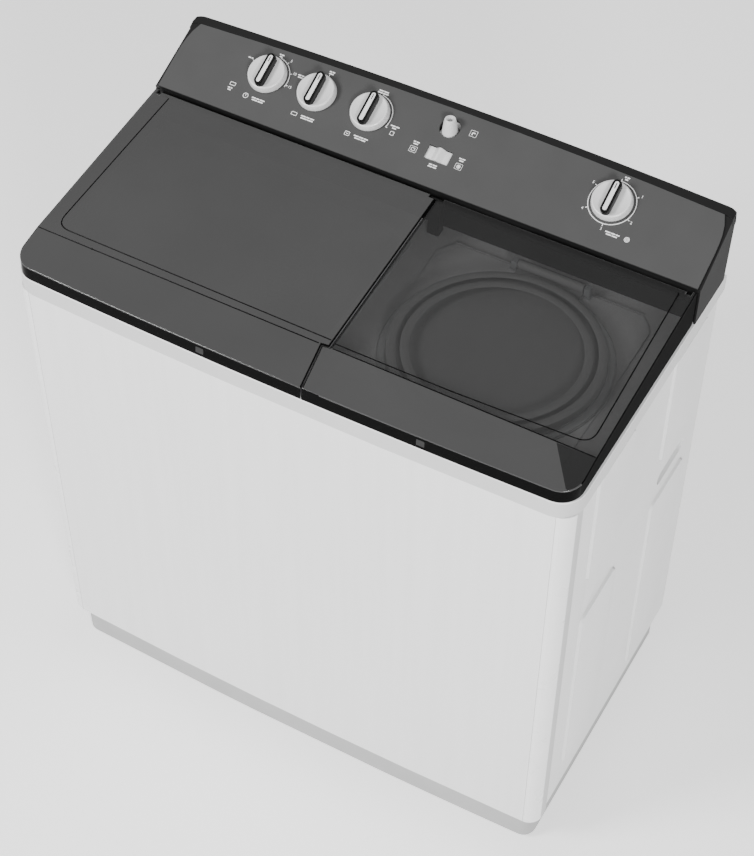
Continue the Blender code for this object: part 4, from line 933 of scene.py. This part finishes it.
def pulsator():
    """The dished disc with six blades, at a finer step than the frame's."""
    low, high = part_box("pulsator")
    centre = (low + high) / 2
    radius = (high.x - low.x) / 2
    rings, turns = 26, 144
    shape = bmesh.new()
    top = []
    for k in range(1, rings + 1):
        share = k / rings
        row = []
        for i in range(turns):
            angle = 2 * math.pi * i / turns
            swell = math.sin(math.pi * min(1.0, share * 1.02)) ** 0.8
            blade = max(0.0, math.cos(BLADES * angle)) ** 2 * swell
            hub = 0.030 * math.exp(-((share / 0.28) ** 2))
            height = 0.0078 + 0.010 * share**3 + 0.026 * blade + hub
            edge = math.sqrt(max(0.0, 1 - ((share - 0.955) / 0.045) ** 2)) if share > 0.955 else 1.0
            row.append(shape.verts.new((
                centre.x + radius * share * math.cos(angle),
                centre.y + radius * share * math.sin(angle),
                low.z + height * (0.55 + 0.45 * edge),
            )))
        top.append(row)
    crown = shape.verts.new((centre.x, centre.y, low.z + 0.0385))
    for i in range(turns):
        shape.faces.new((crown, top[0][i], top[0][(i + 1) % turns]))
    for near, far in zip(top, top[1:]):
        for i in range(turns):
            j = (i + 1) % turns
            shape.faces.new((near[i], far[i], far[j], near[j]))
    rim = [shape.verts.new((v.co.x, v.co.y, low.z)) for v in top[-1]]
    for i in range(turns):
        j = (i + 1) % turns
        shape.faces.new((top[-1][i], rim[i], rim[j], top[-1][j]))
    shape.faces.new(rim[::-1])
    made = from_bmesh("pulsator_blades", shape, MAT["tub"], body_of["pulsator"], 50)
    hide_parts("pulsator")
    cap = bmesh.new()
    place = Matrix.Translation((centre.x, centre.y, low.z + 0.036))
    add_turned(cap, [(9 * MM, 0), (9 * MM, 3 * MM), (7.5 * MM, 4.2 * MM), (4 * MM, 4.6 * MM)], place, 40)
    from_bmesh("pulsator_cap", cap, MAT["inner"], body_of["pulsator"])


def basket_holes():
    """Rows of drain holes, shown by dark plugs as painted shade in the openings, that end just past both faces of
    the basket's wall.
    """
    low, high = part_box("spin_basket")
    centre = (low + high) / 2
    outer = (high.x - low.x) / 2 - 4.4 * MM
    shape = bmesh.new()
    columns, rows = 30, 12
    for row in range(rows):
        z = low.z + 0.050 + row * (high.z - low.z - 0.105) / (rows - 1)
        for column in range(columns):
            angle = 2 * math.pi * (column + 0.5 * (row % 2)) / columns
            outward = Matrix.Rotation(angle, 4, "Z") @ Matrix.Rotation(math.radians(90), 4, "Y")
            place = Matrix.Translation((centre.x, centre.y, z)) @ outward
            add_turned(shape, [(2.6 * MM, outer - 3.3 * MM), (2.6 * MM, outer + 0.35 * MM)], place, 8)
    from_bmesh("basket_holes", shape, MAT["hole"], body_of["spin_basket"], 40)


def lint_filter():
    """A frame with fine bars over a backing sheet, on the wash tub's rear wall."""
    low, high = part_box("lint_filter")
    centre = (low + high) / 2
    upright = Matrix.Translation((centre.x, 0, centre.z)) @ Matrix.Rotation(math.radians(90), 4, "X")
    half_x, half_z = (high.x - low.x) / 2, (high.z - low.z) / 2
    shape = bmesh.new()
    outer = rounded(half_x, half_z, 10 * MM)
    inner = rounded(half_x - 9 * MM, half_z - 9 * MM, 4 * MM)
    for i in range(len(outer)):
        j = (i + 1) % len(outer)
        if (Vector(outer[i]) - Vector(outer[j])).length > 1e-6:
            add_prism(shape, [inner[i], outer[i], outer[j], inner[j]], -high.y, -low.y, upright)
    bars = 14
    for i in range(bars):
        z = -half_z + 9 * MM + (i + 0.5) * (2 * half_z - 18 * MM) / bars
        add_prism(
            shape,
            [(-half_x + 8 * MM, z - 1.2 * MM), (half_x - 8 * MM, z - 1.2 * MM),
             (half_x - 8 * MM, z + 1.2 * MM), (-half_x + 8 * MM, z + 1.2 * MM)],
            -centre.y - 4 * MM,
            -centre.y + 1 * MM,
            upright,
        )
    add_prism(shape, rounded(half_x - 9 * MM, half_z - 9 * MM, 4 * MM), -high.y, -high.y + 2 * MM, upright)
    made = from_bmesh("filter_frame", shape, MAT["inner"], body_of["lint_filter"])
    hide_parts("lint_filter")


STEP_OUTLINE = (  # plan of the raised step round the spin opening
    (0.083, -0.232),
    (0.388, -0.232),
    (0.388, 0.080),
    (0.380, 0.094),
    (0.3667, 0.1065),
    (0.0775, 0.1065),
    (0.061, 0.082),
)

RAILS = ((0.078, 0.166), (0.294, 0.366))  # from and to along X
RAIL_DEPTH = (0.1085, 0.1120)


def reach_to(border, ray):
    """How far a ray from the origin runs before it meets a closed outline."""
    for start, end in zip(border, border[1:] + border[:1]):
        run = end - start
        cross = ray.x * run.y - ray.y * run.x
        if abs(cross) < 1e-12:
            continue
        distance = (start.x * run.y - start.y * run.x) / cross
        share = (start.x * ray.y - start.y * ray.x) / cross
        if distance > 0 and -1e-4 <= share <= 1 + 1e-4:
            return distance
    return 0.0


def deck_details():
    """A low step on the deck round the spin opening, and two thin rails behind it."""
    tub_low, tub_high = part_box("spin_tub")
    centre = (tub_low + tub_high) / 2
    radius = (tub_high.x - tub_low.x) / 2 + 1.2 * MM
    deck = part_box("top_frame")[1].z
    steps = 72
    middle = centre.xy
    border = [Vector(spot) - middle for spot in STEP_OUTLINE]
    angles = {2 * math.pi * i / steps for i in range(steps)}
    angles |= {math.atan2(spot.y, spot.x) % (2 * math.pi) for spot in border}
    low, high = deck + 0.1 * MM, deck + 1.8 * MM
    shape = bmesh.new()
    bands = []
    for angle in sorted(angles):
        ray = Vector((math.cos(angle), math.sin(angle)))
        inner = middle + ray * radius
        outer = middle + ray * max(reach_to(border, ray), radius + MM)
        corners = ((inner, low), (outer, low), (outer, high), (inner, high))
        bands.append([shape.verts.new((*spot, z)) for spot, z in corners])
    for near, far in zip(bands, bands[1:] + bands[:1]):
        for k in range(4):
            shape.faces.new((near[k], far[k], far[k - 3], near[k - 3]))
    from_bmesh("deck_step", shape, MAT["rim"], "machine")

    strips = bmesh.new()
    front, rear = RAIL_DEPTH
    for start, end in RAILS:
        outline = [(start, front), (end, front), (end, rear), (start, rear)]
        add_prism(strips, outline, deck + 0.1 * MM, deck + 2.4 * MM)
    from_bmesh("deck_rails", strips, MAT["back"], "machine")


HOSE_SIDES = 20
HOSE_BEND, HOSE_PITCH, HOSE_CUFF, HOSE_BORE_DEPTH = 16 * MM, 3.0 * MM, 35 * MM, 30 * MM
HOSE_VALLEY, HOSE_BORE = 0.86, 0.68  # shares of the hose's radius


def drain_hose():
    """A ribbed hose with a plain cuff, along the frame's hose."""
    low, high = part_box("drain_hose")
    radius = (high.x - low.x) / 2
    x = (low.x + high.x) / 2
    y, z = high.y - radius, low.z + radius
    bend = HOSE_BEND
    path = []
    start = low.y
    straight = max(y - bend - start, 0.001)
    for i in range(13):
        path.append((Vector((x, start + straight * i / 12, z)), Vector((0, 1, 0))))
    for i in range(1, 9):
        angle = math.radians(90 * i / 8)
        point = Vector((x, y - bend + bend * math.sin(angle), z + bend - bend * math.cos(angle)))
        path.append((point, Vector((0, math.cos(angle), math.sin(angle)))))
    top = high.z
    count = int((top - HOSE_CUFF - (z + bend)) / HOSE_PITCH)
    for i in range(1, count * 2 + 1):
        path.append((Vector((x, y, z + bend + i * HOSE_PITCH / 2)), Vector((0, 0, 1))))
    ribbed = len(path)
    for height in (top - 0.033, top - 0.0328, top - 0.0005, top):
        path.append((Vector((x, y, height)), Vector((0, 0, 1))))
    shape = bmesh.new()
    turns = [2 * math.pi * k / HOSE_SIDES for k in range(HOSE_SIDES)]
    rings = []
    for i, (point, ahead) in enumerate(path):
        if i < ribbed:
            size = radius * (1.0 if i % 2 else HOSE_VALLEY)
        else:
            size = radius * (0.99 if i > ribbed else HOSE_VALLEY)
        across = Vector((1, 0, 0))
        up = across.cross(ahead)
        rings.append([
            shape.verts.new(point + (across * math.cos(turn) + up * math.sin(turn)) * size)
            for turn in turns
        ])
    inner = []
    bore = HOSE_BORE * radius
    for depth in (0, HOSE_BORE_DEPTH):
        inner.append([
            shape.verts.new((x + bore * math.cos(turn), y - bore * math.sin(turn), top - depth))
            for turn in turns
        ])
    sequence = rings + inner
    for near, far in zip(sequence, sequence[1:]):
        for i in range(HOSE_SIDES):
            j = (i + 1) % HOSE_SIDES
            shape.faces.new((near[i], near[j], far[j], far[i]))
    shape.faces.new(sequence[0][::-1])
    shape.faces.new(sequence[-1])
    made = from_bmesh("ribbed_hose", shape, MAT["rubber"], "machine", 60)
    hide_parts("drain_hose")


SCREW_PROFILE = ((4.2, 0), (4.2, 0.9), (3.2, 1.9), (1.5, 2.2))  # (radius, height) in mm
SCREWS_PER_SIDE = 5
VENT_X, VENT_LOW, VENT_PITCH, VENT_ROWS = 0.13, 0.20, 0.018, 7


def back_screws():
    """Screws down both edges of the back cover, and vent slots shown by dark strips as painted shade in the
    openings.
    """
    low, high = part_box("back_cover")
    face = high.y
    backward = Matrix.Rotation(math.radians(-90), 4, "X")
    shape = bmesh.new()
    bays = SCREWS_PER_SIDE - 1
    heights = [low.z + (high.z - low.z) * k / bays * 0.97 + 8 * MM for k in range(SCREWS_PER_SIDE)]
    spots = [(low.x + 7 * MM, z) for z in heights]
    spots += [(-x, z) for x, z in spots]
    for x, z in spots:
        place = Matrix.Translation((x, face - 0.2 * MM, z)) @ backward
        add_turned(shape, [(radius * MM, rise * MM) for radius, rise in SCREW_PROFILE], place, 24)
    from_bmesh("back_screws", shape, MAT["screw"], "machine")
    slots_shape = bmesh.new()
    dish_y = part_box("cord_gland")[0].y + 8 * MM
    for row in range(VENT_ROWS):
        for side in (-1, 1):
            place = Matrix.Translation((side * VENT_X, dish_y - 0.5 * MM, VENT_LOW + row * VENT_PITCH))
            place = place @ backward @ Matrix.Rotation(math.radians(90), 4, "Z")
            add_prism(slots_shape, stadium(40 * MM, 3 * MM, 6), 0, 0.7 * MM, place)
    from_bmesh("vent_slots", slots_shape, MAT["hole"], "machine")


# ------------------------------------------------------------------ stage


FLOOR_GLOW, WORLD_LIGHT = 0.7, 0.55


def stage():
    """A plain pale floor, an even sky and two soft lamps."""
    floor_shape = bmesh.new()
    bmesh.ops.create_grid(floor_shape, x_segments=1, y_segments=1, size=30)
    mesh = bpy.data.meshes.new("floor")
    floor_shape.to_mesh(mesh)
    floor_shape.free()
    floor = bpy.data.objects.new("floor", mesh)
    bpy.context.scene.collection.objects.link(floor)
    paper = principled("floor_paper", (0.90, 0.90, 0.90), 0.9)
    shader = paper.node_tree.nodes["Principled BSDF"]
    shader.inputs["Emission Color"].default_value = (1, 1, 1, 1)
    shader.inputs["Emission Strength"].default_value = FLOOR_GLOW
    mesh.materials.append(paper)

    world = bpy.data.worlds.new("studio")
    bpy.context.scene.world = world
    world.use_nodes = True
    world.node_tree.nodes["Background"].inputs["Color"].default_value = (1, 1, 1, 1)
    world.node_tree.nodes["Background"].inputs["Strength"].default_value = WORLD_LIGHT

    def softbox(name, spot, target, size, power):
        lamp = bpy.data.lights.new(name, "AREA")
        lamp.shape = "RECTANGLE"
        lamp.size, lamp.size_y = size
        lamp.energy = power
        made = bpy.data.objects.new(name, lamp)
        bpy.context.scene.collection.objects.link(made)
        made.location = spot
        made.rotation_euler = (Vector(target) - Vector(spot)).to_track_quat("-Z", "Y").to_euler()

    softbox("key", (-2.4, -3.0, 3.6), (0, 0, 0.5), (1.4, 1.4), 210)
    softbox("fill", (2.7, -3.4, 2.9), (0, 0, 0.5), (0.9, 0.9), 190)


CAMERA_SPOT = (1.00516, -1.78400, 2.85108)
CAMERA_TURN = (29.0973, 48.6829, 0.3433)  # azimuth, elevation and roll in degrees
CAMERA_LENS = 86.32


def camera():
    """The photograph's viewing angle."""
    azimuth, elevation, roll = (math.radians(angle) for angle in CAMERA_TURN)
    ahead = Vector((
        -math.sin(azimuth) * math.cos(elevation),
        math.cos(azimuth) * math.cos(elevation),
        -math.sin(elevation),
    ))
    right = ahead.cross(Vector((0, 0, 1))).normalized()
    up = right.cross(ahead)
    rolled_right = right * math.cos(roll) + up * math.sin(roll)
    rolled_up = up * math.cos(roll) - right * math.sin(roll)
    lens = bpy.data.cameras.new("camera")
    lens.sensor_width = 36
    lens.lens = CAMERA_LENS
    made = bpy.data.objects.new("camera", lens)
    bpy.context.scene.collection.objects.link(made)
    turn = Matrix((rolled_right, rolled_up, -ahead)).transposed().to_4x4()
    made.matrix_world = Matrix.Translation(CAMERA_SPOT) @ turn
    bpy.context.scene.camera = made


def carried_over():
    """Every CAD node that is still shown gets its detailed material."""
    for node, obj in nodes.items():
        if obj.hide_render:
            continue
        obj.data.materials.clear()
        obj.data.materials.append(finish_of(node))


casings()
lids()
for dial_name in ("wash_timer", "program", "drain", "spin_timer"):
    dial(dial_name, dial_name + "_turn")
face_print()
pulsator()
basket_holes()
lint_filter()
deck_details()
drain_hose()
back_screws()
carried_over()
stage()
camera()
